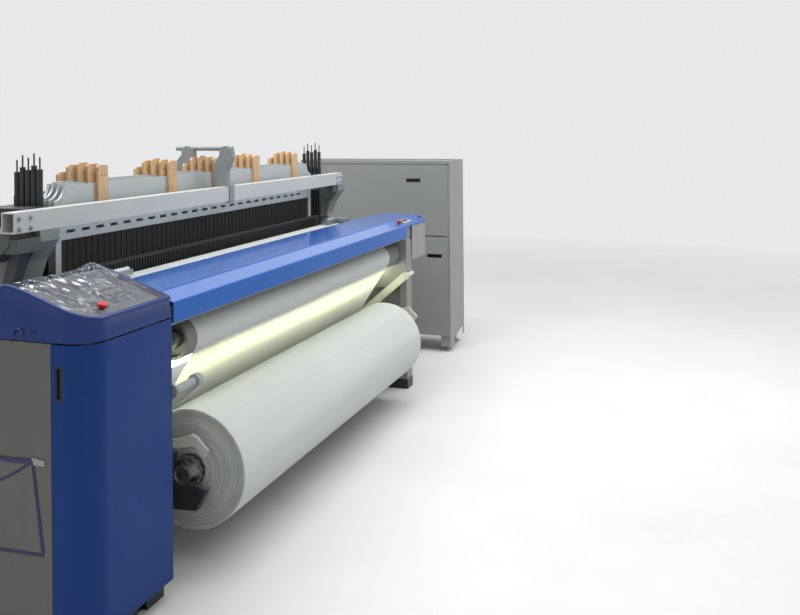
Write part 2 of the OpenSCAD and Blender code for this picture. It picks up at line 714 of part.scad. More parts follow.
// Cast brackets that carry the ends of the top beam on the side frames
module beam_brackets() color([0.48, 0.50, 0.49]) {
    along_x(beam_x0 + 5, lf_out) polygon([
        [beam_y + 26, beam_z], [beam_y + 26, 1220], [-250, 1160], [-120, 1130], [-120, beam_z]
    ]);
    box(beam_x0 + 8, lf_out, beam_y - 3, beam_y + 80, 1190, 1238);
    along_x(lf_out - 64, lf_out - 24) polygon([[-318, 1195], [-270, 1195], [-206, 1000], [-250, 1000]]);
    box(lf_out - 60, lf_out, -256, -206, 985, 1035);
    along_x(rf_in - 60, rf_in) polygon([
        [beam_y + 8, beam_z], [beam_y + 8, 1215], [-260, 1150], [-250, 1060], [-236, 1060], [-236, beam_z]
    ]);
}

// Arch over the heald frames: a clamp on the beam, two bent arms and the tube between them
arch_front_y = -320;
arch_rear_y = -106;
module arch_arm(y, foot) along_x(arch_x - arch_w / 2 + 4, arch_x + arch_w / 2 - 4) polygon(concat(
    arc([y, 1498], 33, 0, 180, 12),
    [[y - 33, 1472], [foot[0], 1405], [foot[0], foot_z], [foot[1], foot_z], [foot[1], 1438], [y + 33, 1488]]
));
foot_z = beam_z + beam_h;
module center_arch() color([0.55, 0.57, 0.57]) {
    difference() {
        box(arch_x - arch_w / 2, arch_x + arch_w / 2, beam_y - 6, beam_y + beam_d + 6, beam_z - 6, foot_z + 6);
        box(arch_x - 40, arch_x + 40, beam_y, beam_y + beam_d, beam_z, foot_z);
    }
    arch_arm(arch_front_y, [-326, -258]);
    arch_arm(arch_rear_y, [-84, -28]);
    translate([arch_x, -351, arch_tube_z]) rotate([-90, 0, 0]) cylinder(h = 314, r = 11);
}

// Heald frame: rails with scooped ends, side stays, slotted heald bar and the curtain of healds
function rail_y(i) = first_rail_y + frame_pitch * i;
window_pitch = 90;
windows = 24;
module heald_frame(i) color([0.66, 0.69, 0.72]) translate([heald_x, rail_y(i), level[i]]) {
    pitch = (heald_l - 2 * stay_w) / heald_ridges;
    difference() {
        translate([0, 0, heald_top]) cube([heald_l, rail_t, rail_z + top_rail_h - heald_top]);
        for (x = [0, heald_l])
            translate([x, -1, rail_z + top_rail_h]) rotate([-90, 0, 0]) cylinder(h = rail_t + 2, r = 60);
        for (k = [0:windows - 1])
            translate([70 + window_pitch * k, -1, heald_top + 25]) cube([50, rail_t + 2, 12]);
    }
    for (x = [0, heald_l - stay_w])
        translate([x, 0, lower_rail_z]) cube([stay_w, rail_t, heald_top - lower_rail_z]);
    translate([0, 0, lower_rail_z]) cube([heald_l, rail_t, lower_rail_h]);
    translate([stay_w, 2, lower_rail_z + lower_rail_h]) linear_extrude(heald_top - lower_rail_z - lower_rail_h)
        polygon(concat(
            [for (k = [0:heald_ridges - 1]) each [
                [k * pitch, 3], [k * pitch, 0], [(k + 0.5) * pitch, 0], [(k + 0.5) * pitch, 3]
            ]],
            [[heald_ridges * pitch, 3], [heald_ridges * pitch, 6], [0, 6]]
        ));
}

// Wooden guide slats on the front of a top rail, staggered from frame to frame
module guide_slats(i) color([0.80, 0.62, 0.44]) for (x = slat_x)
    translate([weave_mid + x - slat_w / 2 + slat_shift * i, rail_y(i), slat_z + level[i]]) difference() {
        rotate([90, 0, 0]) linear_extrude(slat_t) polygon([
            [0, 0], [slat_w, 0], [slat_w, slat_h - 9], [slat_w - 9, slat_h], [9, slat_h], [0, slat_h - 9]
        ]);
        for (k = [-11, 11]) translate([slat_w / 2 + k, 1, slat_h - 42]) rotate([90, 0, 0]) cylinder(h = slat_t + 2, r = 3.5);
    }

// Guides outside the ends of the frames: posts, and dampers on a block over each tower
damper_x = -1718;
damper_step = [2, 16, 0, 10, -8];
module guides_one_side() {
    box(-1694, -1654, first_rail_y - 16, first_rail_y + frame_pitch * frame_count, 1010, 1230);
    box($face, -1694, first_rail_y + 10, first_rail_y + 80, 1080, 1160);
    box(damper_x - 100, damper_x + 20, -235, -96, tower_z, 1330);
    for (i = [0:4]) {
        translate([damper_x, first_rail_y + 26 * i - 1, 1330]) cylinder(h = 40, r = 12.5);
        translate([damper_x, first_rail_y + 26 * i - 1, 1370]) cylinder(h = 95 + damper_step[i], r = 10.5);
        translate([damper_x, first_rail_y + 26 * i - 1, 1460 + damper_step[i]]) cylinder(h = 50, r = 3);
    }
}
module frame_guides() color([0.10, 0.10, 0.11]) mirror_pair() guides_one_side();

// Sley beam on its swords and rocking shaft
sword_x = [-1000, -335, 335, 985];
module sley() color([0.40, 0.42, 0.43]) {
    difference() {
        box(reed_x0, reed_x1, -332, -266, 930, reed_z);
        box(reed_x0 - 1, reed_x1 + 1, reed_y - 0.2, reed_y + reed_t + 0.2, reed_z - 15, reed_z + 1);
    }
    for (x = sword_x) along_x(weave_mid + x - 18, weave_mid + x + 18)
        polygon([[-335, 640], [-320, 930], [-275, 930], [-262, 640]]);
    for (x = sword_x) rod_x(weave_mid + x - 30, weave_mid + x + 30, rock_c, 52);
    rod_x(lf_out, rf_out, rock_c, rock_r);
}

// Reed: a frame of bars with open dents
module reed() color([0.30, 0.31, 0.32]) difference() {
    dent = (reed_w - 40) / reed_gaps;
    box(reed_x0, reed_x1, reed_y, reed_y + reed_t, reed_z - 15, reed_z + reed_h);
    for (k = [0:reed_gaps - 1])
        translate([reed_x0 + 20 + dent * (k + 0.25), reed_y - 1, reed_z + 12]) cube([dent / 2, reed_t + 2, reed_h - 24]);
}

// Relay nozzles along the front of the sley, and the main nozzles at its left end
nozzle_pitch = 76;
module relay_nozzles() color([0.70, 0.72, 0.73]) {
    for (k = [0:26]) translate([weave_mid - 13 * nozzle_pitch + nozzle_pitch * k, -318, reed_z]) {
        translate([0, 0, 8]) cylinder(h = 14, r = 3);
        translate([-8, -8, 0]) cube([16, 16, 8]);
    }
}
module main_nozzles() color([0.72, 0.74, 0.76]) {
    for (j = [0, 1]) {
        rod_x(-1628, reed_x0 - 8, [-318 + 18 * j, 1019], 4);
        rod_x(-1618, -1578, [-318 + 18 * j, 1019], 7);
    }
    box(-1573, -1548, -332, -284, 985, 1029);
    box(-1573, reed_x0, -332, -266, 960, reed_z);
}

// Temples: a roller cap over each cloth edge on a bracket, with its adjusting knob
module temple() {
    box(cloth_l - 40, cloth_l + 100, -410, -362, 1042, 1064);
    rod_x(cloth_l - 20, cloth_l + 96, [-386, 1060], 14);
    box(cloth_l - 130, cloth_l - 40, -450, -366, 1030, 1062);
    rod_x(cloth_l - 150, cloth_l - 128, [-408, 1048], 12);
    along_x(cloth_l - 110, cloth_l - 60) polygon([[-460, 1000], [-440, 1062], [-400, 1062], [-440, 1000]]);
    box($face + 26, cloth_l - 60, -462, -430, 985, 1006);
}
module temples() color([0.55, 0.57, 0.57]) mirror_pair() temple();

// Back-rest roller with journals
module back_rest_roller() color([0.62, 0.64, 0.65]) {
    rod_x(warp_l + 8, warp_rt - 8, back_rest_c, back_rest_r);
    rod_x(lf_out, rf_out, back_rest_c, back_shaft_r);
}

// Warp stop motion: end plates, contact bars and three banks of drop wires above and below the warp
wire_ridges = 30;
module wire_bank(y, z0, z1) {
    pitch = 2160 / wire_ridges;
    translate([weave_mid - 1080, y, z0]) linear_extrude(z1 - z0) polygon(concat(
        [for (k = [0:wire_ridges - 1]) each [
            [k * pitch, 4], [k * pitch, 0], [(k + 0.5) * pitch, 0], [(k + 0.5) * pitch, 4]
        ]],
        [[wire_ridges * pitch, 4], [wire_ridges * pitch, 8], [0, 8]]
    ));
}
module stop_motion() color([0.55, 0.56, 0.57]) {
    for (y = [80, 120, 160]) {
        wire_bank(y, cloth_z + 5, 1104);
        wire_bank(y, 962, cloth_z - 5);
        box(-1568, 682, y + 7, y + 16, 1062, 1084);
        box(-1568, 682, y + 7, y + 16, 985, 1000);
    }
    for (x = [-1568, 672]) box(x, x + 10, 66, 196, 950, 1116);
    box(lf_in, -1567, 90, 150, 980, 1010);
    box(681, rf_in, 90, 150, 980, 1010);
}

// Warp beam: barrel, wound warp, ribbed flanges, gear and gudgeons
gear_teeth = 48;
gear_r = 190;
function tooth(k, r, f) = r * [cos((k + f) * 360 / gear_teeth), sin((k + f) * 360 / gear_teeth)];
module gear_outline() polygon([
    for (k = [0:gear_teeth - 1]) each [
        tooth(k, gear_r - 14, 0), tooth(k, gear_r, 0.14), tooth(k, gear_r, 0.40), tooth(k, gear_r - 14, 0.54)
    ]
]);
module warp_flange(x, side) {
    difference() {
        rod_x(x, x + flange_t, beam_c, flange_r);
        rod_x(side > 0 ? x + 8 : x - 1, side > 0 ? x + flange_t + 1 : x + flange_t - 8, beam_c, flange_r - 22);
    }
    face = side > 0 ? x + 8 : x;
    for (a = [0:45:315]) translate([face, beam_c[0], beam_c[1]]) rotate([a, 0, 0])
        box(0, flange_t - 8, 100, flange_r - 20, -6, 6);
    rod_x(face, face + flange_t - 8, beam_c, 110);
}
module warp_beam() color([0.66, 0.68, 0.70]) {
    warp_flange(warp_l - flange_t, -1);
    warp_flange(warp_rt, 1);
    rod_x(warp_l, warp_rt, beam_c, warp_r);
    rod_x(lf_out, rf_out, beam_c, gudgeon_r);
    translate([warp_rt + flange_t + 30, beam_c[0], beam_c[1]])
        rotate([90, 0, 90]) linear_extrude(40) gear_outline();
    rod_x(warp_rt + flange_t, warp_rt + flange_t + 30, beam_c, 80);
}

// Warp from the beam over the back rest and forward to the healds
sheet_clear = 0.5;
warp_t = 1.5;
warp_a = turn(beam_c - back_rest_c) + acos((back_rest_r - warp_r) / norm(beam_c - back_rest_c));
function warp_side(t) = concat(
    [[rail_y(frame_count - 1) + rail_t + 14, cloth_z + sheet_clear + t]],
    arc(back_rest_c, back_rest_r + sheet_clear + t, 90, warp_a, 6),
    [beam_c + (warp_r + sheet_clear + t) * [cos(warp_a), sin(warp_a)]]
);
module warp_sheet() color([0.86, 0.86, 0.84])
    along_x(warp_l + 12, warp_rt - 12) polygon(concat(warp_side(0), reverse(warp_side(warp_t))));

side_frame_left();
side_frame_right();
cross_beams();
levelling_feet();
breast_beam();
breast_beam_cover();
cloth_guide_bar();
take_up_roller();
press_roller();
cloth_web();
cloth_roll();
cloth_roll_shaft();
roll_holders();
roll_latch_left();
roll_latch_right();
press_arms();
inspection_lamp();
control_cabinet();
cabinet_base();
post_cover();
post_latch();
hood();
control_panel();
film_cover();
stop_button_left();
document_pocket();
drive_cabinet();
drive_cabinet_lid();
upper_side_cover();
lower_side_cover();
end_cover();
drive_housing();
stop_button_right();
button_plate();
start_button();
inching_button();
top_beam();
beam_brackets();
beam_bolts();
center_arch();
frame_guides();
sley();
reed();
relay_nozzles();
main_nozzles();
temples();
back_rest_roller();
stop_motion();
warp_beam();
warp_sheet();
heald_frame(0);  // heald_frame_1
heald_frame(1);  // heald_frame_2
heald_frame(2);  // heald_frame_3
heald_frame(3);  // heald_frame_4
heald_frame(4);  // heald_frame_5
guide_slats(0);  // guide_slats_1
guide_slats(1);  // guide_slats_2
guide_slats(2);  // guide_slats_3
guide_slats(3);  // guide_slats_4
guide_slats(4);  // guide_slats_5
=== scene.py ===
import math
import random

import bpy
from mathutils import Matrix, Vector, noise


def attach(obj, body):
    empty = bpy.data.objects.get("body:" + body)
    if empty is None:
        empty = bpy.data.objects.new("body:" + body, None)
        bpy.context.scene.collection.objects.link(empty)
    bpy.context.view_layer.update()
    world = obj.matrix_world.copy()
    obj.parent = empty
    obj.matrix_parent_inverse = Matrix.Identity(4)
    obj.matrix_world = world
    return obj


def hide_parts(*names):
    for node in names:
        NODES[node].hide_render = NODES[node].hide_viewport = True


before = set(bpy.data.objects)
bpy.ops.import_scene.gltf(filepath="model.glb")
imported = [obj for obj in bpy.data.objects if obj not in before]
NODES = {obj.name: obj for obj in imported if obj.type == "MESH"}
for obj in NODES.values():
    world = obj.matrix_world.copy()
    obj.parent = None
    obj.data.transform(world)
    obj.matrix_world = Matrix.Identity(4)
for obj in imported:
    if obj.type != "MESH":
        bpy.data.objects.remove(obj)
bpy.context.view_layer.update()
SCENE = bpy.context.scene

# All lengths are metres. The camera stands in the aisle, 1.6 m above the floor, level and slightly rolled
CAMERA_AT = Vector((-4.445, -2.5415, 1.6))
CAMERA_ALONG = Vector((0.9477, 0.3192, 0.0)).normalized()
CAMERA_ROLL = -0.008
LENS_MM, SENSOR_MM = 40.5, 36
SHIFT_Y = -0.22125

# What runs along X: middle and ends, then centres in the Y-Z plane with radii, in the order of the cloth's path
MID_X = -0.443
CLOTH_L, CLOTH_R = -1.523, 0.637
WARP_L, WARP_R = -1.541, 0.655
FELL_Y = -0.352
GUIDE_C, GUIDE_R = (-0.490, 1.012), 0.022
TAKE_C, TAKE_R = (-0.6815, 0.835), 0.075
ROLL_C, ROLL_R = (-0.7265, 0.346), 0.2235
# Path of the warp, from behind the heald frames over the back rest to the beam
WARP_START_Y = -0.0965
REST_C, REST_R = (0.440, 0.969), 0.065
BEAM_C, WOUND_R = (0.565, 0.520), 0.330
# Gap between a sheet and the roller that carries it
SHEET_OFF = 0.0013


def make_camera():
    data = bpy.data.cameras.new("camera")
    data.lens = LENS_MM
    data.sensor_width = SENSOR_MM
    data.sensor_fit = "HORIZONTAL"
    data.shift_y = SHIFT_Y
    data.clip_start = 0.05
    data.clip_end = 100
    cam = bpy.data.objects.new("camera", data)
    SCENE.collection.objects.link(cam)
    up = Vector((0, 0, 1))
    right = CAMERA_ALONG.cross(up)
    turn = Matrix((right, up, -CAMERA_ALONG)).transposed() @ Matrix.Rotation(CAMERA_ROLL, 3, "Z")
    cam.matrix_world = Matrix.Translation(CAMERA_AT) @ turn.to_4x4()
    SCENE.camera = cam


make_camera()


class Graph:
    """Node graph of a material or of the world."""

    def __init__(self, owner, shader="Principled BSDF"):
        owner.use_nodes = True
        self.owner = owner
        self.nodes = owner.node_tree.nodes
        self.links = owner.node_tree.links
        self.shader = self.nodes[shader]
        self.coord = self.node("TexCoord", {})

    def set(self, node, key, value):
        """Link a socket to an input or fill in a value; a colour may come without its alpha."""
        socket = node.inputs[key]
        if isinstance(value, bpy.types.NodeSocket):
            self.links.new(value, socket)
        elif socket.type == "RGBA" and len(value) == 3:
            socket.default_value = (*value, 1.0)
        else:
            socket.default_value = value

    def node(self, kind, inputs, **settings):
        n = self.nodes.new("ShaderNode" + kind)
        for key, value in settings.items():
            setattr(n, key, value)
        for key, value in inputs.items():
            self.set(n, key, value)
        return n

    def place(self, stretch=None):
        """Object coordinates, stretched by a factor for each axis."""
        at = self.coord.outputs["Object"]
        if stretch is None:
            return at
        return self.node("Mapping", {"Vector": at, "Scale": stretch}).outputs["Vector"]

    def noise(self, scale, detail=3.0, rough=0.55, stretch=None, distort=0.0, vec=None):
        return self.node("TexNoise", {
            "Vector": self.place(stretch) if vec is None else vec, "Scale": scale, "Detail": detail,
            "Roughness": rough, "Distortion": distort,
        }).outputs["Fac"]

    def wave(self, axis, scale, distort, detail, stretch=None):
        return self.node("TexWave", {
            "Vector": self.place(stretch), "Scale": scale, "Distortion": distort, "Detail": detail,
        }, bands_direction=axis).outputs["Fac"]

    def math(self, op, a, b=0.0, clamp=False):
        return self.node("Math", {0: a, 1: b}, operation=op, use_clamp=clamp).outputs[0]

    def span(self, fac, lo, hi, out_lo=0.0, out_hi=1.0):
        """fac from lo to hi becomes out_lo to out_hi, and stays there beyond."""
        return self.node("MapRange", {
            "Value": fac, "From Min": lo, "From Max": hi, "To Min": out_lo, "To Max": out_hi,
        }).outputs["Result"]

    def below(self, value, limit, soft=0.001):
        """1 below the limit and 0 above it, with a soft step."""
        return self.span(value, limit - soft / 2, limit + soft / 2, 1, 0)

    def between(self, value, lo, hi, soft=0.001):
        """1 between lo and hi, with both ends drawn soft."""
        rise = self.span(value, lo - soft / 2, lo + soft / 2)
        return self.math("MULTIPLY", rise, self.below(value, hi, soft))

    def mix(self, fac, a, b):
        return self.node("Mix", {0: fac, 6: a, 7: b}, data_type="RGBA").outputs[2]

    def xyz(self, source="Object"):
        return self.node("SeparateXYZ", {0: self.coord.outputs[source]}).outputs

    def far(self, a, b):
        """Length of a vector with the sides a and b."""
        squares = self.math("MULTIPLY", a, a), self.math("MULTIPLY", b, b)
        return self.math("SQRT", self.math("ADD", *squares))

    def radius(self, p, centre):
        """Distance of p from an axis along X."""
        return self.far(self.math("SUBTRACT", p[1], centre[0]), self.math("SUBTRACT", p[2], centre[1]))

    def sideways(self, p, middle=MID_X):
        """Distance of p from the middle of the cloth, or of the heald frames."""
        return self.math("ABSOLUTE", self.math("SUBTRACT", p[0], middle))

    def facing_up(self, lo):
        return self.span(self.xyz("Normal")[2], lo, 0.95)

    def bump(self, height, strength, distance, normal=None):
        inputs = {"Height": height, "Strength": strength, "Distance": distance}
        if normal is not None:
            inputs["Normal"] = normal
        return self.node("Bump", inputs).outputs["Normal"]

    def rounded(self, radius):
        return self.node("Bevel", {"Radius": radius}, samples=4).outputs["Normal"]

    def edges(self, rounded):
        """Where the rounded normal leaves the true one: 1 on an edge, 0 on a flat face."""
        true = self.node("NewGeometry", {}).outputs["Normal"]
        dot = self.node("VectorMath", {0: rounded, 1: true}, operation="DOT_PRODUCT")
        return self.span(self.math("SUBTRACT", 1.0, dot.outputs["Value"]), 0.02, 0.25)

    def over(self, fac, other):
        """Mix another shader over the main one."""
        both = self.node("MixShader", {0: fac, 1: self.shader.outputs[0], 2: other.outputs[0]})
        self.set(self.nodes["Material Output"], "Surface", both.outputs[0])

    def out(self, **inputs):
        for key, value in inputs.items():
            self.set(self.shader, key.replace("_", " "), value)
        return self.owner


def material(name):
    return Graph(bpy.data.materials.new(name))


def tint(colour, k):
    return tuple(min(1.0, c * k) for c in colour)


def srgb(r, g, b):
    return tuple(((c / 255 + 0.055) / 1.055) ** 2.4 if c > 10 else c / 255 / 12.92 for c in (r, g, b))


def bands(pitch):
    """Scale of a wave texture that has one band for each pitch."""
    return 2 * math.pi / pitch / 20


# Colours
DUST = srgb(176, 174, 166)
BLUE = srgb(24, 56, 116)
BLUE_HOOD = srgb(20, 50, 110)
BLUE_TOP = srgb(44, 96, 176)
GREY = srgb(136, 139, 136)
GREY_OLIVE = srgb(100, 98, 94)
BEAM = srgb(187, 190, 187)
CAST = srgb(128, 134, 130)
ALU = srgb(186, 191, 193)
CREAM = srgb(206, 208, 190)
PRESS_GREY = srgb(150, 154, 158)
CLOTH = srgb(214, 218, 217)
WOOD = srgb(216, 180, 138)
# near black painted into the handle slots as painted shade
SLOT_SHADE_BLACK = srgb(12, 12, 13)
BACKDROP = (0.80, 0.81, 0.82)

# Handle slots of the drive cabinet's two side covers, painted near black inside as painted shade: face X, then
# Y and Z ranges
UPPER_SLOT_SHADE = (1.8135, -0.588, -0.479, 1.222, 1.248)
LOWER_SLOT_SHADE = (1.8015, -0.748, -0.639, 0.678, 0.704)
# The press arms are grey to the left of this X
PRESS_GREY_X = -1.55
# Distances between threads, healds and warp yarns in the materials
THREAD_PITCH, HEALD_PITCH, YARN_PITCH = 0.0012, 0.003, 0.0025
# Opening of a heald frame at rest: its middle and half width in X, and its Z range
HEALD_MID_X, HEALD_HALF = -0.4705, 1.1325
HEALD_LOW, HEALD_HIGH = 0.840, 1.190
# Half the distance between the warp beam's flanges
FLANGE_HALF = 1.099


def enamel(name, colour, rough=0.3, var=0.06, dust=0.25, edge=0.0015, wear=0.25, coat=0.0, peel=0.12,
           grime=0.25, spec=0.5, slot_shade=None, left=None, up_only=False):
    """Painted sheet or casting: slow colour drift, dust on what faces up, rubbed edges and a fine peel.

    left is (x, colour) for what lies left of x. A handle slot, given as (x, y0, y1, z0, z1), is painted near
    black inside as painted shade. up_only keeps coat and highlights to what faces up.
    """
    g = material(name)
    base = g.mix(g.span(g.noise(2.3, 4, 0.6), 0.3, 0.7), tint(colour, 1 - var), tint(colour, 1 + var))
    smudge = g.noise(9, 6, 0.7, distort=0.4)
    base = g.mix(g.span(smudge, 0.55, 0.8, 0, grime), base, tint(colour, 0.6))
    if left:
        base = g.mix(g.below(g.xyz()[0], left[0]), base, left[1])
    # painted shade: inside the handle slot the paint turns near black where shade falls
    if slot_shade:
        x, y0, y1, z0, z1 = slot_shade
        soft = 0.0005
        p = g.xyz()
        slot_shade_mask = g.span(p[0], x - soft, x)
        for axis, lo, hi in ((1, y0, y1), (2, z0, z1)):
            slot_shade_mask = g.math("MULTIPLY", slot_shade_mask, g.between(p[axis], lo - soft / 2, hi + soft / 2, soft))
        base = g.mix(slot_shade_mask, base, SLOT_SHADE_BLACK)
    round_normal = g.rounded(edge)
    rub = g.math("MULTIPLY", g.edges(round_normal), g.span(g.noise(60, 4, 0.6), 0.45, 0.7, 0, wear))
    base = g.mix(rub, base, tint(colour, 1.9))
    up = g.facing_up(0.35)
    fluff = g.math("MULTIPLY", up, g.span(g.noise(34, 6, 0.7), 0.42, 0.75, 0, dust))
    base = g.mix(fluff, base, DUST)
    if up_only:
        coat = g.math("MULTIPLY", up, coat)
        spec = g.math("ADD", g.math("MULTIPLY", up, spec - 0.1), 0.1)
    sheen = g.span(g.noise(5, 5, 0.65), 0.3, 0.7, rough * 0.82, rough * 1.2)
    sheen = g.math("ADD", sheen, g.math("MULTIPLY", fluff, 0.35), clamp=True)
    normal = g.bump(g.noise(900, 2, 0.5), peel, 0.0003, round_normal)
    return g.out(Base_Color=base, Roughness=sheen, Normal=normal, Coat_Weight=coat, Coat_Roughness=0.08,
                 Specular_IOR_Level=spec)


def metal(name, colour, rough, stretch, scale, metallic=1.0):
    """Bare or plated metal with drawn or turned marks along one direction."""
    g = material(name)
    marks = g.noise(scale, 5, 0.65, stretch)
    base = g.mix(g.span(marks, 0.3, 0.72), tint(colour, 0.88), tint(colour, 1.12))
    base = g.mix(g.span(g.noise(4, 4, 0.6), 0.5, 0.8, 0, 0.25), base, tint(colour, 0.5))
    sheen = g.span(marks, 0.25, 0.75, rough * 0.7, rough * 1.35)
    return g.out(Base_Color=base, Roughness=sheen, Metallic=metallic,
                 Normal=g.bump(marks, 0.15, 0.0003, g.rounded(0.001)))


def plastic(name, colour, rough, dust=0.2):
    g = material(name)
    base = g.mix(g.span(g.noise(7, 4, 0.6), 0.3, 0.7), tint(colour, 0.92), tint(colour, 1.08))
    fluff = g.math("MULTIPLY", g.facing_up(0.4), g.span(g.noise(40, 6, 0.7), 0.45, 0.8, 0, dust))
    sheen = g.span(g.noise(14, 5, 0.6), 0.3, 0.7, rough * 0.8, rough * 1.25)
    return g.out(Base_Color=g.mix(fluff, base, DUST), Roughness=sheen,
                 Normal=g.bump(g.noise(600, 2, 0.5), 0.15, 0.0003, g.rounded(0.001)))


def weft_bars(g):
    """Faint bars across the cloth, from uneven picks."""
    return g.span(g.noise(3.0, 4, 0.6, (0.4, 5.0, 5.0)), 0.3, 0.7)


def woven(name, colour, through=0.0):
    """Plain cloth: warp lines across X, weft lines along the path, selvedges, and some light let through."""
    g = material(name)
    warp = g.wave("X", bands(THREAD_PITCH), 0.6, 2)
    weft = g.wave("DIAGONAL", bands(THREAD_PITCH), 0.6, 2, (0.0, 1.0, 1.0))
    weave = g.math("ADD", warp, weft)
    base = g.mix(weft_bars(g), tint(colour, 0.94), tint(colour, 1.03))
    base = g.mix(g.span(weave, 0.2, 1.8), tint(colour, 0.86), base)
    slub = g.noise(22, 5, 0.7, (6, 60, 60))
    base = g.mix(g.span(slub, 0.62, 0.8, 0, 0.10), base, tint(colour, 0.7))
    side = g.sideways(g.xyz())
    base = g.mix(g.span(side, 1.0735, 1.0750), base, tint(colour, 1.15))
    base = g.mix(g.between(side, 1.0700, 1.0730), base, tint(colour, 0.75))
    if through:
        glow = g.node("BsdfTranslucent", {"Color": g.mix(0.5, base, srgb(236, 240, 196))})
        g.over(through, glow)
    return g.out(Base_Color=base, Roughness=0.85, Normal=g.bump(weave, 0.35, 0.0004), Sheen_Weight=0.15,
                 Sheen_Roughness=0.4)


def heald_frame_material(level):
    """Anodised rails, and between them a dark band of steel healds. level is how far the frame is raised."""
    g = material("heald_frame")
    p = g.xyz()
    wires = g.wave("X", bands(HEALD_PITCH), 1.2, 3, (1, 1, 0.02))
    clumps = g.noise(30, 5, 0.7, (1, 1, 0.08))
    dark = g.mix(g.span(wires, 0.1, 0.95), srgb(30, 27, 26), srgb(56, 52, 50))
    dark = g.mix(g.span(clumps, 0.35, 0.7, 0, 0.45), dark, srgb(38, 34, 33))
    alloy = g.mix(g.span(g.noise(20, 5, 0.65, (1, 60, 60)), 0.3, 0.72), tint(ALU, 0.94), tint(ALU, 1.05))
    alloy = g.mix(g.span(g.noise(30, 6, 0.7), 0.55, 0.8, 0, 0.2), alloy, tint(ALU, 0.6))
    # the healds fill the opening between the rails and the side stays
    tall = g.between(g.math("SUBTRACT", p[2], level), HEALD_LOW, HEALD_HIGH)
    wide = g.below(g.sideways(p, HEALD_MID_X), HEALD_HALF)
    band = g.math("MULTIPLY", tall, wide)
    return g.out(Base_Color=g.mix(band, alloy, dark), Roughness=g.span(band, 0, 1, 0.42, 0.85),
                 Metallic=g.span(band, 0, 1, 0.35, 0.0),
                 Normal=g.bump(g.math("MULTIPLY", wires, band), 0.3, 0.001, g.rounded(0.001)))


def wood_material():
    g = material("slat_wood")
    rings = g.wave("X", 6, 3.5, 3, (14, 14, 1.1))
    fibre = g.noise(60, 5, 0.7, (8, 8, 0.35))
    base = g.mix(g.span(rings, 0.1, 0.9), tint(WOOD, 0.78), tint(WOOD, 1.08))
    base = g.mix(g.span(fibre, 0.45, 0.75, 0, 0.45), base, tint(WOOD, 0.62))
    base = g.mix(g.span(g.noise(16, 5, 0.7), 0.5, 0.8, 0, 0.35), base, srgb(120, 88, 60))
    return g.out(Base_Color=base, Roughness=0.62, Normal=g.bump(fibre, 0.35, 0.0004, g.rounded(0.0015)))


def roll_material():
    """Wound cloth: weave on the outside, painted darker than the same cloth in the web as painted shade, fine
    layered rings on the ends.
    """
    g = material("cloth_roll")
    p = g.xyz()
    line = g.node("CombineXYZ", {0: g.radius(p, ROLL_C)}).outputs[0]
    rings = g.noise(260, 5, 0.75, vec=line)
    broad = g.noise(45, 3, 0.6, vec=line)
    end = g.span(g.math("ABSOLUTE", g.xyz("Normal")[0]), 0.5, 0.8)
    face = g.mix(g.span(rings, 0.32, 0.68), srgb(140, 142, 142), srgb(224, 226, 224))
    face = g.mix(g.span(broad, 0.35, 0.65, 0, 0.4), face, srgb(150, 152, 154))
    face = g.mix(g.span(g.noise(14, 5, 0.7), 0.5, 0.8, 0, 0.35), face, srgb(90, 88, 84))
    weave = g.wave("X", bands(THREAD_PITCH), 0.6, 2)
    # painted shade: the wound cloth is CLOTH at 0.78 to 0.87, darker than the same cloth in the web
    outside_painted_darker = g.mix(weft_bars(g), tint(CLOTH, 0.78), tint(CLOTH, 0.87))
    outside_painted_darker = g.mix(g.span(weave, 0.2, 0.8, 0, 0.12), outside_painted_darker, tint(CLOTH, 0.7))
    wraps = g.noise(5, 3, 0.6, (0.15, 1, 1))
    outside_painted_darker = g.mix(g.span(wraps, 0.5, 0.75, 0, 0.15), outside_painted_darker, tint(CLOTH, 0.8))
    outside_painted_darker = g.mix(g.span(g.sideways(p), 1.0690, 1.0760, 0, 0.5), outside_painted_darker, tint(CLOTH, 0.6))
    height = g.math("ADD", g.math("MULTIPLY", rings, end), g.math("MULTIPLY", weave, 0.4))
    return g.out(Base_Color=g.mix(end, outside_painted_darker, face), Roughness=0.86, Normal=g.bump(height, 0.5, 0.001),
                 Sheen_Weight=0.1, Sheen_Roughness=0.4)


def yarn_material():
    g = material("yarn")
    lines = g.wave("X", bands(YARN_PITCH), 0.5, 2)
    fine = g.noise(900, 3, 0.6, (1, 0.004, 0.004))
    base = g.mix(g.span(lines, 0.15, 0.85), srgb(150, 150, 144), srgb(226, 226, 218))
    base = g.mix(g.span(fine, 0.4, 0.7, 0, 0.35), base, srgb(176, 176, 168))
    return g.out(Base_Color=base, Roughness=0.7, Normal=g.bump(lines, 0.5, 0.0006), Sheen_Weight=0.2,
                 Sheen_Roughness=0.4)


def beam_material():
    """Cast flanges and gear in bare metal, with the wound warp between the flanges."""
    g = material("warp_beam")
    p = g.xyz()
    inner = g.below(g.sideways(p), FLANGE_HALF)
    yarn = g.math("MULTIPLY", inner, g.span(g.radius(p, BEAM_C), WOUND_R + 0.0005, WOUND_R + 0.0020, 1, 0))
    alloy = g.mix(g.span(g.noise(60, 5, 0.65), 0.3, 0.72), srgb(150, 154, 160), srgb(186, 190, 196))
    lines = g.wave("X", bands(YARN_PITCH), 0.5, 2)
    streaks = g.noise(14, 4, 0.6, (1, 0.1, 0.1))
    wound = g.mix(g.span(lines, 0.15, 0.85), srgb(160, 160, 153), srgb(218, 218, 209))
    wound = g.mix(g.span(streaks, 0.45, 0.75, 0, 0.35), wound, srgb(176, 175, 166))
    return g.out(Base_Color=g.mix(yarn, alloy, wound), Roughness=g.span(yarn, 0, 1, 0.4, 0.75),
                 Metallic=g.span(yarn, 0, 1, 0.8, 0.0), Normal=g.bump(lines, 0.2, 0.0004, g.rounded(0.001)))


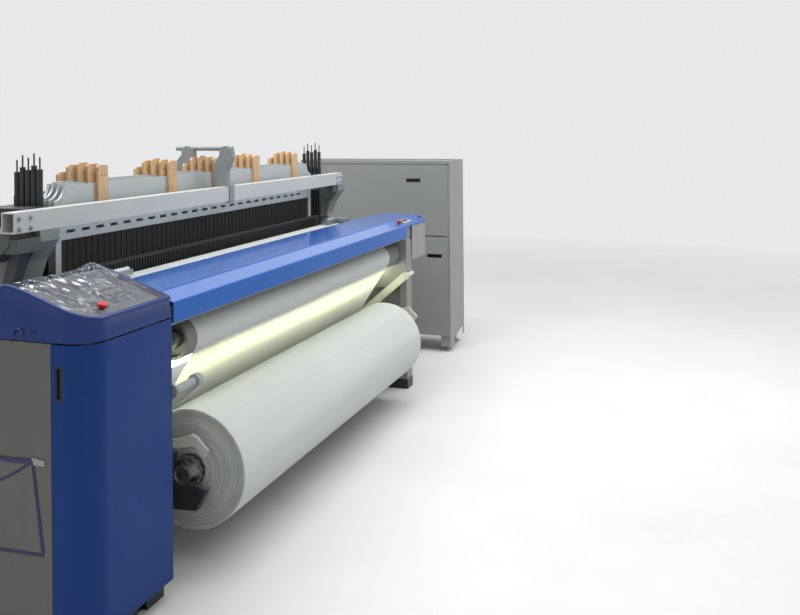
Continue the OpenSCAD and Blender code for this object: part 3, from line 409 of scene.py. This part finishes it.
def film_material(name, colour, alpha, rough, scale, strength, crease, painted_glints=False):
    """Crinkled clear film: thin, glossy and see-through, with soft whitish folds and painted glints, white
    streaks that stand for a painted reflection.
    """
    g = material(name)
    crinkle = g.noise(scale, 4, 0.5, distort=1.2)
    fold = g.math("ABSOLUTE", g.math("SUBTRACT", g.noise(scale * 0.7, 3, 0.5, distort=2.0), 0.5))
    pleat = g.span(fold, 0.0, 0.03, crease, 0.0)
    base = g.mix(g.span(crinkle, 0.3, 0.72), tint(colour, 0.7), tint(colour, 1.1))
    base = g.mix(pleat, base, srgb(214, 218, 224))
    cloudy = g.math("ADD", g.math("MULTIPLY", crinkle, 0.6), g.math("MULTIPLY", g.noise(9, 4, 0.6), 0.4))
    see = g.span(cloudy, 0.3, 0.7, alpha * 0.6, alpha * 1.4)
    if painted_glints:
        painted_glint = g.span(g.noise(34, 3, 0.6, (1, 0.35, 1), distort=1.5), 0.56, 0.66)
        p = g.xyz()
        # painted reflection: white glint streaks painted only on the rear left part of the panel, where the
        # hall would be mirrored
        glint_zone = g.math("MULTIPLY", g.span(p[1], -0.74, -0.62), g.span(p[0], -1.84, -1.92))
        painted_glint = g.math("MULTIPLY", painted_glint, glint_zone)
        base = g.mix(painted_glint, base, srgb(244, 246, 248))
        see = g.math("ADD", see, painted_glint, clamp=True)
    see = g.math("ADD", see, g.math("MULTIPLY", pleat, 0.5), clamp=True)
    height = g.math("ADD", crinkle, g.math("MULTIPLY", g.span(fold, 0.0, 0.12), 0.5))
    g.owner.surface_render_method = "DITHERED"
    return g.out(Base_Color=base, Roughness=rough, Alpha=see, Normal=g.bump(height, strength, 0.006),
                 Specular_IOR_Level=0.9, Coat_Weight=0.6, Coat_Roughness=0.05)


def lamp_material():
    """Lit tube seen at the open side of a white reflector; the reflector takes the same emission and glows as
    well, which is painted light.
    """
    g = material("lamp")
    base = g.mix(g.span(g.noise(30, 4, 0.6), 0.3, 0.7), srgb(226, 232, 214), srgb(244, 248, 232))
    return g.out(Base_Color=base, Roughness=0.35, Emission_Color=(1.0, 0.98, 0.74), Emission_Strength=8.0)


# Paint values that several materials share
CASTING = dict(var=0.09, edge=0.004, peel=0.4, grime=0.45)
SHEET = dict(rough=0.38, var=0.04, dust=0.25, edge=0.002, peel=0.15, grime=0.18)
GLOSS = dict(var=0.05, dust=0.06, wear=0.1, peel=0.05, grime=0.12)
CREAM_PAINT = dict(colour=CREAM, rough=0.4, dust=0.3, wear=0.2, edge=0.002)

ENAMELS = {
    "frame_casting": dict(colour=CAST, rough=0.45, dust=0.5, **CASTING),
    "dark_casting": dict(colour=srgb(84, 87, 86), rough=0.5, dust=0.4, spec=0.3, **CASTING),
    "arch_grey": dict(colour=srgb(132, 137, 138), rough=0.4, dust=0.25, edge=0.003),
    "black_steel": dict(colour=srgb(30, 30, 32), rough=0.4, dust=0.5, wear=0.4),
    "blue_sheet": dict(colour=BLUE, rough=0.34, var=0.05, dust=0.08, edge=0.002, wear=0.15, peel=0.06,
                       grime=0.12, spec=0.12),
    "blue_cover": dict(colour=BLUE_TOP, rough=0.2, var=0.04, dust=0.06, coat=0.6, up_only=True, edge=0.003,
                       wear=0.15, peel=0.05, grime=0.1),
    "blue_hood": dict(colour=BLUE_HOOD, rough=0.18, edge=0.003, spec=0.28, **GLOSS),
    "hood_dark": dict(colour=srgb(20, 34, 80), rough=0.25, edge=0.0005, **GLOSS),
    "grey_paint": dict(colour=srgb(186, 188, 185), rough=0.4, dust=0.2, wear=0.3, edge=0.002),
    "holder_black": dict(colour=srgb(44, 44, 46), rough=0.45, dust=0.45, wear=0.6, edge=0.003, peel=0.4),
    "cream_paint": CREAM_PAINT,
    "press_paint": dict(left=(PRESS_GREY_X, PRESS_GREY), **CREAM_PAINT),
    "grey_sheet": dict(colour=GREY, **SHEET),
    "upper_cover": dict(colour=GREY, slot_shade=UPPER_SLOT_SHADE, **SHEET),
    "lower_cover": dict(colour=GREY, slot_shade=LOWER_SLOT_SHADE, **SHEET),
    "grey_olive": dict(colour=GREY_OLIVE, rough=0.45, var=0.04, dust=0.25, edge=0.002, peel=0.2, grime=0.2,
                       spec=0.25),
    "beam_grey": dict(colour=BEAM, rough=0.35, var=0.04, dust=0.3, edge=0.002, peel=0.15, grime=0.15),
}
# Colour, roughness, stretch and scale of the marks, and how metallic
METALS = {
    "bare_steel": (srgb(176, 178, 180), 0.3, (1, 40, 40), 30),
    "turned": (srgb(168, 170, 172), 0.28, (60, 1, 1), 30),
    "friction": (srgb(120, 120, 118), 0.62, (1, 1, 1), 420, 0.3),
    "plate": (srgb(190, 194, 192), 0.4, (1, 30, 30), 40, 0.6),
    "zinc": (srgb(180, 184, 190), 0.35, (1, 1, 1), 120),
    "reed_steel": (srgb(58, 58, 60), 0.5, (200, 1, 1), 8, 0.5),
    "sley_alloy": (srgb(112, 116, 122), 0.42, (1, 30, 30), 30, 0.7),
}
# Colour, roughness and dust
PLASTICS = {
    "rubber": (srgb(34, 34, 36), 0.6, 0.25),
    "dark_piping": (srgb(30, 28, 74), 0.45, 0.1),
    "tape": (srgb(150, 148, 138), 0.35, 0.3),
    "black_plastic": (srgb(16, 16, 18), 0.4),
    "panel": (srgb(92, 96, 102), 0.45),
    "red_plastic": (srgb(196, 30, 30), 0.22, 0.05),
    "green_plastic": (srgb(40, 110, 70), 0.3),
}

mats = {name: enamel(name, **look) for name, look in ENAMELS.items()}
mats |= {name: metal(name, *look) for name, look in METALS.items()}
mats |= {name: plastic(name, *look) for name, look in PLASTICS.items()}
mats |= {
    "cloth": woven("cloth", CLOTH),
    # painted light: the web's cloth is CLOTH made 1.12 times brighter, lifting it where it lies in shade under
    # the cover
    "cloth_painted_brighter": woven("cloth_painted_brighter", tint(CLOTH, 1.12), through=0.28),
    "slat_wood": wood_material(),
    "cloth_roll": roll_material(),
    "yarn": yarn_material(),
    "warp_beam": beam_material(),
    # painted reflection: white glints painted on the clear film
    "clear_film": film_material("clear_film", srgb(92, 97, 106), 0.36, 0.07, 14, 0.4, 0.2, painted_glints=True),
    "pocket_film": film_material("pocket_film", srgb(104, 104, 102), 0.35, 0.25, 8, 0.12, 0.05),
    "lamp": lamp_material(),
}

NODE_MATERIAL = {
    "side_frame_left": "frame_casting", "side_frame_right": "frame_casting", "cross_beams": "frame_casting",
    "levelling_feet": "black_steel", "breast_beam": "frame_casting", "breast_beam_cover": "blue_cover",
    "cloth_guide_bar": "bare_steel", "take_up_roller": "friction", "press_roller": "rubber",
    "cloth_web": "cloth", "cloth_roll": "cloth", "cloth_roll_shaft": "turned", "roll_holders": "holder_black",
    "roll_latch_left": "grey_paint", "roll_latch_right": "cream_paint", "press_arms": "press_paint",
    "inspection_lamp": "lamp", "control_cabinet": "grey_olive", "cabinet_base": "black_steel",
    "post_cover": "blue_sheet", "post_latch": "black_plastic", "hood": "blue_hood", "control_panel": "panel",
    "film_cover": "clear_film", "stop_button_left": "red_plastic", "document_pocket": "pocket_film",
    "drive_cabinet": "grey_sheet", "drive_cabinet_lid": "grey_sheet", "upper_side_cover": "upper_cover",
    "lower_side_cover": "lower_cover", "end_cover": "grey_sheet", "drive_housing": "frame_casting",
    "stop_button_right": "red_plastic", "button_plate": "plate", "start_button": "green_plastic",
    "top_beam": "beam_grey", "beam_brackets": "dark_casting", "beam_bolts": "zinc",
    "center_arch": "arch_grey", "inching_button": "black_plastic", "frame_guides": "black_steel",
    "sley": "sley_alloy", "reed": "reed_steel", "relay_nozzles": "zinc", "main_nozzles": "bare_steel",
    "temples": "zinc", "back_rest_roller": "turned", "stop_motion": "bare_steel", "warp_beam": "warp_beam",
    "warp_sheet": "cloth",
}
# How far each heald frame is raised, front to back
LEVELS = (0.0, 0.006, 0.012, 0.004, -0.024)
for number, level in enumerate(LEVELS, 1):
    mats[f"heald_{number}"] = heald_frame_material(level)
    NODE_MATERIAL[f"heald_frame_{number}"] = f"heald_{number}"
    NODE_MATERIAL[f"guide_slats_{number}"] = "slat_wood"


def dress(obj, mat):
    obj.data.materials.clear()
    obj.data.materials.append(mat)


for name, obj in NODES.items():
    dress(obj, mats[NODE_MATERIAL[name]])


def new_piece(name, verts, faces, mat, slot, body="loom_frame"):
    """Smooth mesh object with one material, riding on a body."""
    mesh = bpy.data.meshes.new(name)
    mesh.from_pydata([tuple(v) for v in verts], [], faces)
    mesh.validate()
    obj = bpy.data.objects.new(name, mesh)
    SCENE.collection.objects.link(obj)
    mesh.materials.append(mats[mat])
    mesh.polygons.foreach_set("use_smooth", [True] * len(mesh.polygons))
    mesh.set_sharp_from_angle(angle=math.radians(38))
    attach(obj, body)
    return obj


def grid_faces(rows, cols, closed=False):
    faces = []
    for i in range(rows - 1):
        for j in range(cols if closed else cols - 1):
            a = i * cols + j
            b = i * cols + (j + 1) % cols
            faces.append((a, b, b + cols, a + cols))
    return faces


def tube(path, radius, sides, closed=False):
    """Ring of points round each point of a path, as (verts, faces)."""
    verts = []
    n = len(path)
    normal = None
    for i, p in enumerate(path):
        a = Vector(path[(i - 1) % n if closed else max(i - 1, 0)])
        b = Vector(path[(i + 1) % n if closed else min(i + 1, n - 1)])
        along = (b - a).normalized()
        if normal is None:
            normal = along.orthogonal().normalized()
        normal = (normal - along * normal.dot(along)).normalized()
        other = along.cross(normal)
        for t in (2 * math.pi * k / sides for k in range(sides)):
            verts.append(Vector(p) + radius * (math.cos(t) * normal + math.sin(t) * other))
    faces = grid_faces(n + 1 if closed else n, sides, True)
    if closed:
        faces = [tuple(v % (n * sides) for v in f) for f in faces]
    else:
        faces.append(tuple(reversed(range(sides))))
        faces.append(tuple(range((n - 1) * sides, n * sides)))
    return verts, faces


def join(*parts):
    verts, faces = [], []
    for v, f in parts:
        base = len(verts)
        verts += list(v)
        faces += [tuple(i + base for i in face) for face in f]
    return verts, faces


def lerp(a, b, t):
    return a[0] + (b[0] - a[0]) * t, a[1] + (b[1] - a[1]) * t


def run(a, b, n):
    """The points that cut the line from a to b in n, without a."""
    return [lerp(a, b, k / n) for k in range(1, n + 1)]


def on_circle(c, r, degrees):
    return c[0] + r * math.cos(math.radians(degrees)), c[1] + r * math.sin(math.radians(degrees))


def arc_points(c, r, a0, a1, n):
    return [on_circle(c, r, a0 + (a1 - a0) * i / n) for i in range(n + 1)]


def tangent(a, ra, b, rb, turn):
    """Angle of the tangent point on circle a of the line that runs on to circle b, radii signed by side."""
    d = (b[0] - a[0], b[1] - a[1])
    return math.degrees(math.atan2(d[1], d[0]) + turn * math.acos((ra - rb) / math.hypot(*d)))


def normals(path, side):
    """Unit normals of a flat path: to the right of its run for side 1, to the left for -1."""
    found = []
    for k in range(len(path)):
        a, b = path[max(k - 1, 0)], path[min(k + 1, len(path) - 1)]
        d = side / math.dist(a, b)
        found.append(((b[1] - a[1]) * d, (a[0] - b[0]) * d))
    return found


# The cloth runs free between the take-up roller and the roll
FREE_STEPS = 40


def cloth_path():
    """From the fell to the back of the wound roll, in the Y-Z plane."""
    guide_r, take_r, roll_r = (r + SHEET_OFF for r in (GUIDE_R, TAKE_R, ROLL_R))
    leave_guide = 360 + tangent(GUIDE_C, GUIDE_R, TAKE_C, TAKE_R, -1)
    leave_take = 360 + tangent(TAKE_C, take_r, ROLL_C, -roll_r, -1)
    level = GUIDE_C[1] + guide_r
    pts = [lerp((FELL_Y, level), (GUIDE_C[0], level), k / 12) for k in range(12)]
    pts += arc_points(GUIDE_C, guide_r, 90, leave_guide, 12)
    pts += arc_points(TAKE_C, take_r, leave_guide, leave_take, 30)
    return pts + run(pts[-1], on_circle(ROLL_C, roll_r, leave_take + 180), FREE_STEPS)


def make_cloth_web():
    """The woven cloth between reed and roll: one sheet drawn tight, slightly uneven along its free run."""
    path = cloth_path()
    free = len(path) - 1 - FREE_STEPS
    cols = 217
    inset = 0.002
    width = CLOTH_R - CLOTH_L - 2 * inset
    verts = []
    for i, ((y, z), n) in enumerate(zip(path, normals(path, 1))):
        k = max(0.0, (i - free) / FREE_STEPS)
        swell = math.sin(math.pi * k)
        for j in range(cols):
            x = CLOTH_L + inset + width * j / (cols - 1)
            w = swell * 0.0011 * noise.noise(Vector((x * 1.7, k * 1.5, 3.0)))
            w += swell * 0.0005 * noise.noise(Vector((x * 9, k * 2.0, 8.0)))
            verts.append((x, y + n[0] * w, z + n[1] * w))
    web = new_piece("cloth_web_sheet", verts, grid_faces(len(path), cols), "cloth_painted_brighter", slot="cloth")
    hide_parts("cloth_web")


def make_cloth_roll():
    """Wound cloth: the turns step in and out at the ends, each with a small chamfer."""
    rng = random.Random(5)
    steps = 44
    r0, r1 = 0.060, ROLL_R - 0.0012
    prof = []
    for side in range(2):
        rows = []
        edge = 0.004
        for i in range(steps):
            edge = min(max(edge + rng.uniform(-0.0028, 0.0028), 0.0), 0.0075)
            if i > steps - 5:
                edge = min(edge, 0.003)
            a = r0 + (r1 - r0) * i / steps
            b = r0 + (r1 - r0) * (i + 1) / steps
            rows += [(a, edge + 0.0006), (a + 0.0004, edge), (b - 0.0004, edge), (b, edge + 0.0006)]
        rows += [(ROLL_R - 0.0004, edge + 0.0008), (ROLL_R, edge + 0.003)]
        prof.append(rows)
    left = [(r, CLOTH_L + e) for r, e in prof[0]]
    right = [(r, CLOTH_R - e) for r, e in reversed(prof[1])]
    mid = [(ROLL_R - 0.0003 * (k % 2), CLOTH_L + (CLOTH_R - CLOTH_L) * k / 24) for k in range(1, 24)]
    line = left + mid + right
    sides = 112
    verts = []
    for r, x in line:
        verts += [(x, *on_circle(ROLL_C, r, 360 * k / sides)) for k in range(sides)]
    roll = new_piece("cloth_roll_wound", verts, grid_faces(len(line), sides, True), "cloth_roll",
                     slot="cloth", body="wound_roll")
    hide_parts("cloth_roll")


def make_warp_sheet():
    """Warp yarns as one tight sheet with fine ridges along the path."""
    rest_r, wound_r = REST_R + SHEET_OFF, WOUND_R + SHEET_OFF
    leave = tangent(REST_C, REST_R, BEAM_C, WOUND_R, 1)
    level = REST_C[1] + rest_r
    path = [lerp((WARP_START_Y, level), (REST_C[0], level), k / 24) for k in range(24)]
    path += arc_points(REST_C, rest_r, 90, leave, 14)
    path += run(path[-1], on_circle(BEAM_C, wound_r, leave), 12)
    cols = 880
    ridge = 0.0005
    verts = []
    for (y, z), n in zip(path, normals(path, -1)):
        for j in range(cols):
            w = ridge * (j % 2)
            verts.append((WARP_L + (WARP_R - WARP_L) * j / (cols - 1), y + n[0] * w, z + n[1] * w))
    piece = new_piece("warp_yarn_sheet", verts, grid_faces(len(path), cols), "yarn", slot="yarn")
    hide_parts("warp_sheet")


# Hood: plan outline with a large round corner at the front left, and a ridge between two slopes
CC_X0, CC_X1 = -2.203, -1.759
FRONT_Y = -0.804
HOOD_Z, HOOD_BACK = 0.966, -0.330
RIDGE_Y, RIDGE_Z = -0.492, 1.135
FRONT_SLOPE, REAR_SLOPE = 0.343, 0.463
RIDGE_ROUND = 0.010
BIG_R, SMALL_R = 0.091, 0.012


def hood_outline(inset):
    r1, r2 = BIG_R - inset, max(SMALL_R - inset, 0.001)
    x0, x1 = CC_X0 - 0.001 + inset, CC_X1 - inset
    y0, y1 = FRONT_Y + inset, HOOD_BACK - inset
    pts = [lerp((x0, y1 - r2), (x0, y0 + r1), k / 24) for k in range(24)]
    pts += arc_points((x0 + r1, y0 + r1), r1, 180, 270, 22)
    pts += run((x0 + r1, y0), (x1 - r2, y0), 20)[:-1]
    pts += arc_points((x1 - r2, y0 + r2), r2, 270, 360, 5)
    pts += run((x1, y0 + r2), (x1, y1 - r2), 24)[:-1]
    pts += arc_points((x1 - r2, y1 - r2), r2, 0, 90, 5)
    pts += run((x1 - r2, y1), (x0 + r2, y1), 16)[:-1]
    pts += arc_points((x0 + r2, y1 - r2), r2, 90, 180, 5)[:-1]
    return pts


def hood_top(y):
    front = RIDGE_Z - FRONT_SLOPE * (RIDGE_Y - y)
    rear = RIDGE_Z - REAR_SLOPE * (y - RIDGE_Y)
    return (front + rear) / 2 - math.hypot((front - rear) / 2, RIDGE_ROUND) + RIDGE_ROUND


# Rings of the hood's side, from its lower edge up: (inset, height above HOOD_Z) for the stepped foot,
# (inset, share of the way up) for the plain band, (inset, drop below the top) for the rolled rim
FOOT = [(0.004, 0.010), (0.004, -0.0005), (0.0, -0.0005), (-0.0002, 0.004), (0.0004, 0.014),
        (0.0030, 0.019), (0.0042, 0.026)]
BAND = [(0.0042, 0.34), (0.0036, 0.67)]
RIM = [(0.0022, 0.016), (0.0006, 0.011), (0.0004, 0.007), (0.0016, 0.0034), (0.0044, 0.0010),
       (0.0078, 0.0002), (0.0110, 0.0010), (0.0130, 0.0036), (0.0138, 0.0070)]


def make_hood():
    """Moulded shell: stepped foot, plain band, and a rolled rim that stands proud of the sunk panel."""
    low, drop = HOOD_Z + FOOT[-1][1], RIM[0][1]
    rings = [(inset, lambda y, up=up: HOOD_Z + up) for inset, up in FOOT]
    rings += [(inset, lambda y, k=k: low + (hood_top(y) - drop - low) * k) for inset, k in BAND]
    rings += [(inset, lambda y, down=down: hood_top(y) - down) for inset, down in RIM]
    side = [(x, y, height(y)) for inset, height in rings for x, y in hood_outline(inset)]
    # the rear slope is closed by strips across the width
    rows, cols = 13, 15
    x0, x1 = CC_X0 + 0.0128, CC_X1 - 0.0138
    y0, y1 = RIDGE_Y - 0.012, HOOD_BACK - 0.0138
    slope = []
    for y in (y0 + (y1 - y0) * i / (rows - 1) for i in range(rows)):
        slope += [(x0 + (x1 - x0) * j / (cols - 1), y, hood_top(y) - RIM[-1][1]) for j in range(cols)]
    shell = new_piece(
        "hood_shell",
        *join((side, grid_faces(len(rings), len(hood_outline(0)), True)), (slope, grid_faces(rows, cols))),
        "blue_hood", slot="blue_hood")
    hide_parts("hood")
    # the small arch at the lower rear of the left side and the plug beside it
    x = CC_X0 - 0.0005
    foot = HOOD_Z + 0.002
    bow = [(x, -0.5455 + 0.0165 * math.cos(t), 0.986 + 0.0150 * math.sin(t))
           for t in (math.pi * k / 12 for k in range(13))]
    arch = tube([(x, -0.529, foot), *bow, (x, -0.562, foot)], 0.0022, 6)
    ring = [(x + 0.0022, *on_circle((-0.596, 0.998), 0.0065, 18 * k)) for k in range(20)]
    plug = tube(ring, 0.0020, 6, closed=True)
    new_piece("hood_moulding", *join(arch, plug), "hood_dark", slot="blue_hood")


# Film over the panel: its peak, its long pleat from rear to front, and the hole round the stop button
PEAK = (-1.800, -0.498)
PLEAT_REAR, PLEAT_FRONT = (-2.158, -0.515), (-2.105, -0.735)
BUTTON_C, BUTTON_R = (-2.063, -0.742), 0.0265


def bell(t):
    return math.exp(-(t**2))


def film_height(x, y):
    """Crumpled film over the sunk panel: pulled up to a point at the ridge, with a long pleat at the left."""
    z = hood_top(y) - 0.0035
    u = (x - CC_X0) / (CC_X1 - CC_X0)
    v = (y - FRONT_Y) / (RIDGE_Y - FRONT_Y)
    edge = max(0.0, min(1.0, 8 * min(u, 1 - u, v, max(0.0, 1.04 - v))))
    r = math.dist((x, y), PEAK)
    z += 0.011 * bell(r / 0.045)
    folds = math.cos(7 * math.atan2(y - PEAK[1], x - PEAK[0]) + 2.2)
    z += 0.006 * bell((r - 0.07) / 0.11) * folds * edge
    run_x, run_y = PLEAT_FRONT[0] - PLEAT_REAR[0], PLEAT_FRONT[1] - PLEAT_REAR[1]
    dx, dy = x - PLEAT_REAR[0], y - PLEAT_REAR[1]
    t = (dx * run_x + dy * run_y) / (run_x**2 + run_y**2)
    side = (dx * run_y - dy * run_x) / math.hypot(run_x, run_y)
    fall = math.sqrt(math.sin(math.pi * t**0.8)) if 0 < t < 1 else 0.0
    z += fall * (0.006 * bell(side / 0.011 + 1.0) - 0.007 * bell(side / 0.005))
    a = noise.noise(Vector((x * 16, y * 16, 1.0)))
    b = noise.noise(Vector((x * 38 + 3 * a, y * 38, 4.0)))
    c = 1 - abs(noise.noise(Vector((x * 26 + b, y * 21, 9.0)))) * 2
    return z + edge * (0.0030 * a + 0.0016 * b + 0.0020 * (c - 0.6))


def make_film():
    """Film cut to the panel: round at the front left, and open round the stop button."""
    cols, rows = 150, 104
    x0, x1 = CC_X0 + 0.0095, CC_X1 - 0.0105
    y0, y1 = FRONT_Y + 0.0105, RIDGE_Y + 0.004
    r = 0.081
    cx, cy = x0 + r, y0 + r
    verts, keep = [], []
    for i in range(rows):
        for j in range(cols):
            x = x0 + (x1 - x0) * j / (cols - 1)
            y = y0 + (y1 - y0) * i / (rows - 1)
            inside = True
            if x < cx and y < cy:
                d = math.hypot(x - cx, y - cy)
                if d > r:
                    inside = d < r * 1.05
                    x, y = cx + (x - cx) * r / d, cy + (y - cy) * r / d
            keep.append(inside and math.dist((x, y), BUTTON_C) >= BUTTON_R)
            verts.append((x, y, film_height(x, y)))
    faces = [f for f in grid_faces(rows, cols) if all(keep[k] for k in f)]
    used = sorted({k for f in faces for k in f})
    index = {k: n for n, k in enumerate(used)}
    verts = [verts[k] for k in used]
    faces = [tuple(index[k] for k in f) for f in faces]
    film = new_piece("film_sheet", verts, faces, "clear_film", slot="clear_film")
    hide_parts("film_cover")


# Document pocket on the cabinet's left side: its X, and its corners from the lower front one round
POCKET_X = -2.2047
POCKET_CORNERS = ((-0.632, 0.318), (-0.392, 0.312), (-0.395, 0.602), (-0.592, 0.603))
# Piping as (from, to, sag, half width): front side, foot, rear side, mouth, and the flap's edge
PIPING = (
    ((-0.594, 0.603), (-0.632, 0.322), 0.0, 0.0055),
    ((-0.634, 0.318), (-0.392, 0.311), -0.002, 0.0055),
    ((-0.392, 0.311), (-0.395, 0.603), 0.0, 0.0050),
    ((-0.395, 0.604), (-0.592, 0.600), 0.006, 0.0085),
    ((-0.592, 0.598), (-0.396, 0.505), 0.012, 0.0048),
)
TAPE_CORNERS = ((-0.592, 0.612), (-0.641, 0.606), (-0.642, 0.588), (-0.598, 0.590))


def piping(a, b, sag, half):
    """Flat band with a domed face, 18 steps long, as (verts, faces)."""
    n = 18
    points = [lerp(a, b, k / n) for k in range(n + 1)]
    points = [(y, z - sag * math.sin(math.pi * k / n)) for k, (y, z) in enumerate(points)]
    verts = []
    for (y, z), across in zip(points, normals(points, -1)):
        for s in (-1, -0.6, 0, 0.6, 1):
            out = 0.0018 - 0.0012 * s * s
            verts.append((POCKET_X - out, y + across[0] * half * s, z + across[1] * half * s))
    return verts, grid_faces(len(points), 5)


def make_pocket():
    """Clear sleeve with dark piping, a flap edge across its mouth and a scrap of tape at the corner."""
    front_low, rear_low, rear_top, front_top = POCKET_CORNERS
    rows, cols = 24, 22
    verts = []
    for i in range(rows):
        for j in range(cols):
            s, t = j / (cols - 1), i / (rows - 1)
            y, z = lerp(lerp(front_low, rear_low, s), lerp(front_top, rear_top, s), t)
            bulge = 0.0011 * math.sin(math.pi * s) * math.sin(math.pi * t)
            bulge += 0.0006 * noise.noise(Vector((y * 14, z * 10, 2)))
            verts.append((POCKET_X - max(0.0, bulge), y, z))
    sleeve = new_piece("pocket_sleeve", verts, grid_faces(rows, cols), "pocket_film", slot="clear_film")
    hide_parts("document_pocket")
    new_piece("pocket_piping", *join(*(piping(*p) for p in PIPING)), "dark_piping", slot="clear_film")
    tape = [(POCKET_X - 0.0011 - 0.0002 * math.sin(k), y, z) for k, (y, z) in enumerate(TAPE_CORNERS)]
    new_piece("pocket_tape", tape, [(0, 1, 2, 3)], "tape", slot="clear_film")


make_cloth_web()
make_cloth_roll()
make_warp_sheet()
make_hood()
make_film()
make_pocket()


# Studio
FLOOR_HALF = 40
FADE_FROM, FADE_TO = 3.2, 9.0
HALL_LOW, HALL_HIGH = (0.20, 0.205, 0.215), (0.86, 0.87, 0.90)


def make_floor():
    g = material("floor")
    spots = g.span(g.noise(0.9, 4, 0.6), 0.3, 0.7)
    g.out(Base_Color=g.mix(spots, (0.62, 0.62, 0.61), (0.68, 0.68, 0.67)), Roughness=0.7)
    # far out the floor fades into the pale backdrop
    p = g.xyz()
    path = g.node("LightPath", {}).outputs
    seen = g.math("MAXIMUM", path["Is Camera Ray"], path["Is Glossy Ray"])
    fade = g.math("MULTIPLY", g.span(g.far(p[0], p[1]), FADE_FROM, FADE_TO), seen)
    g.over(fade, g.node("Emission", {"Color": BACKDROP}))
    mesh = bpy.data.meshes.new("floor")
    s = FLOOR_HALF
    mesh.from_pydata([(-s, -s, 0), (s, -s, 0), (s, s, 0), (-s, s, 0)], [], [(0, 1, 2, 3)])
    floor = bpy.data.objects.new("floor", mesh)
    SCENE.collection.objects.link(floor)
    dress(floor, g.owner)


def make_world():
    """Hall light falls from above; what is seen, mirrored or seen through is the plain backdrop."""
    world = bpy.data.worlds.new("studio")
    SCENE.world = world
    g = Graph(world, "Background")
    path = g.node("LightPath", {}).outputs
    seen = g.math("MAXIMUM", path["Is Camera Ray"], path["Is Transmission Ray"])
    seen = g.math("MAXIMUM", seen, path["Is Glossy Ray"])
    hall = g.mix(g.span(g.xyz("Generated")[2], -0.1, 0.8), HALL_LOW, HALL_HIGH)
    g.out(Color=g.mix(seen, hall, BACKDROP), Strength=1.0)


def area(name, at, to, size, power):
    data = bpy.data.lights.new(name, "AREA")
    data.shape = "RECTANGLE"
    data.size, data.size_y = size
    data.energy = power
    lamp = bpy.data.objects.new(name, data)
    SCENE.collection.objects.link(lamp)
    lamp.location = at
    lamp.rotation_euler = (Vector(to) - Vector(at)).to_track_quat("-Z", "Y").to_euler()


make_floor()
make_world()
area("key", (-1.2, -4.0, 4.4), (0, -0.3, 0.7), (6, 2.5), 30)
area("top", (-0.3, -0.5, 4.4), (-0.1, -0.3, 0), (8, 2.6), 250)
area("back", (0, 5.0, 3.6), (0, 0.5, 0.6), (6, 2.5), 70)

SCENE.view_settings.view_transform = "Standard"
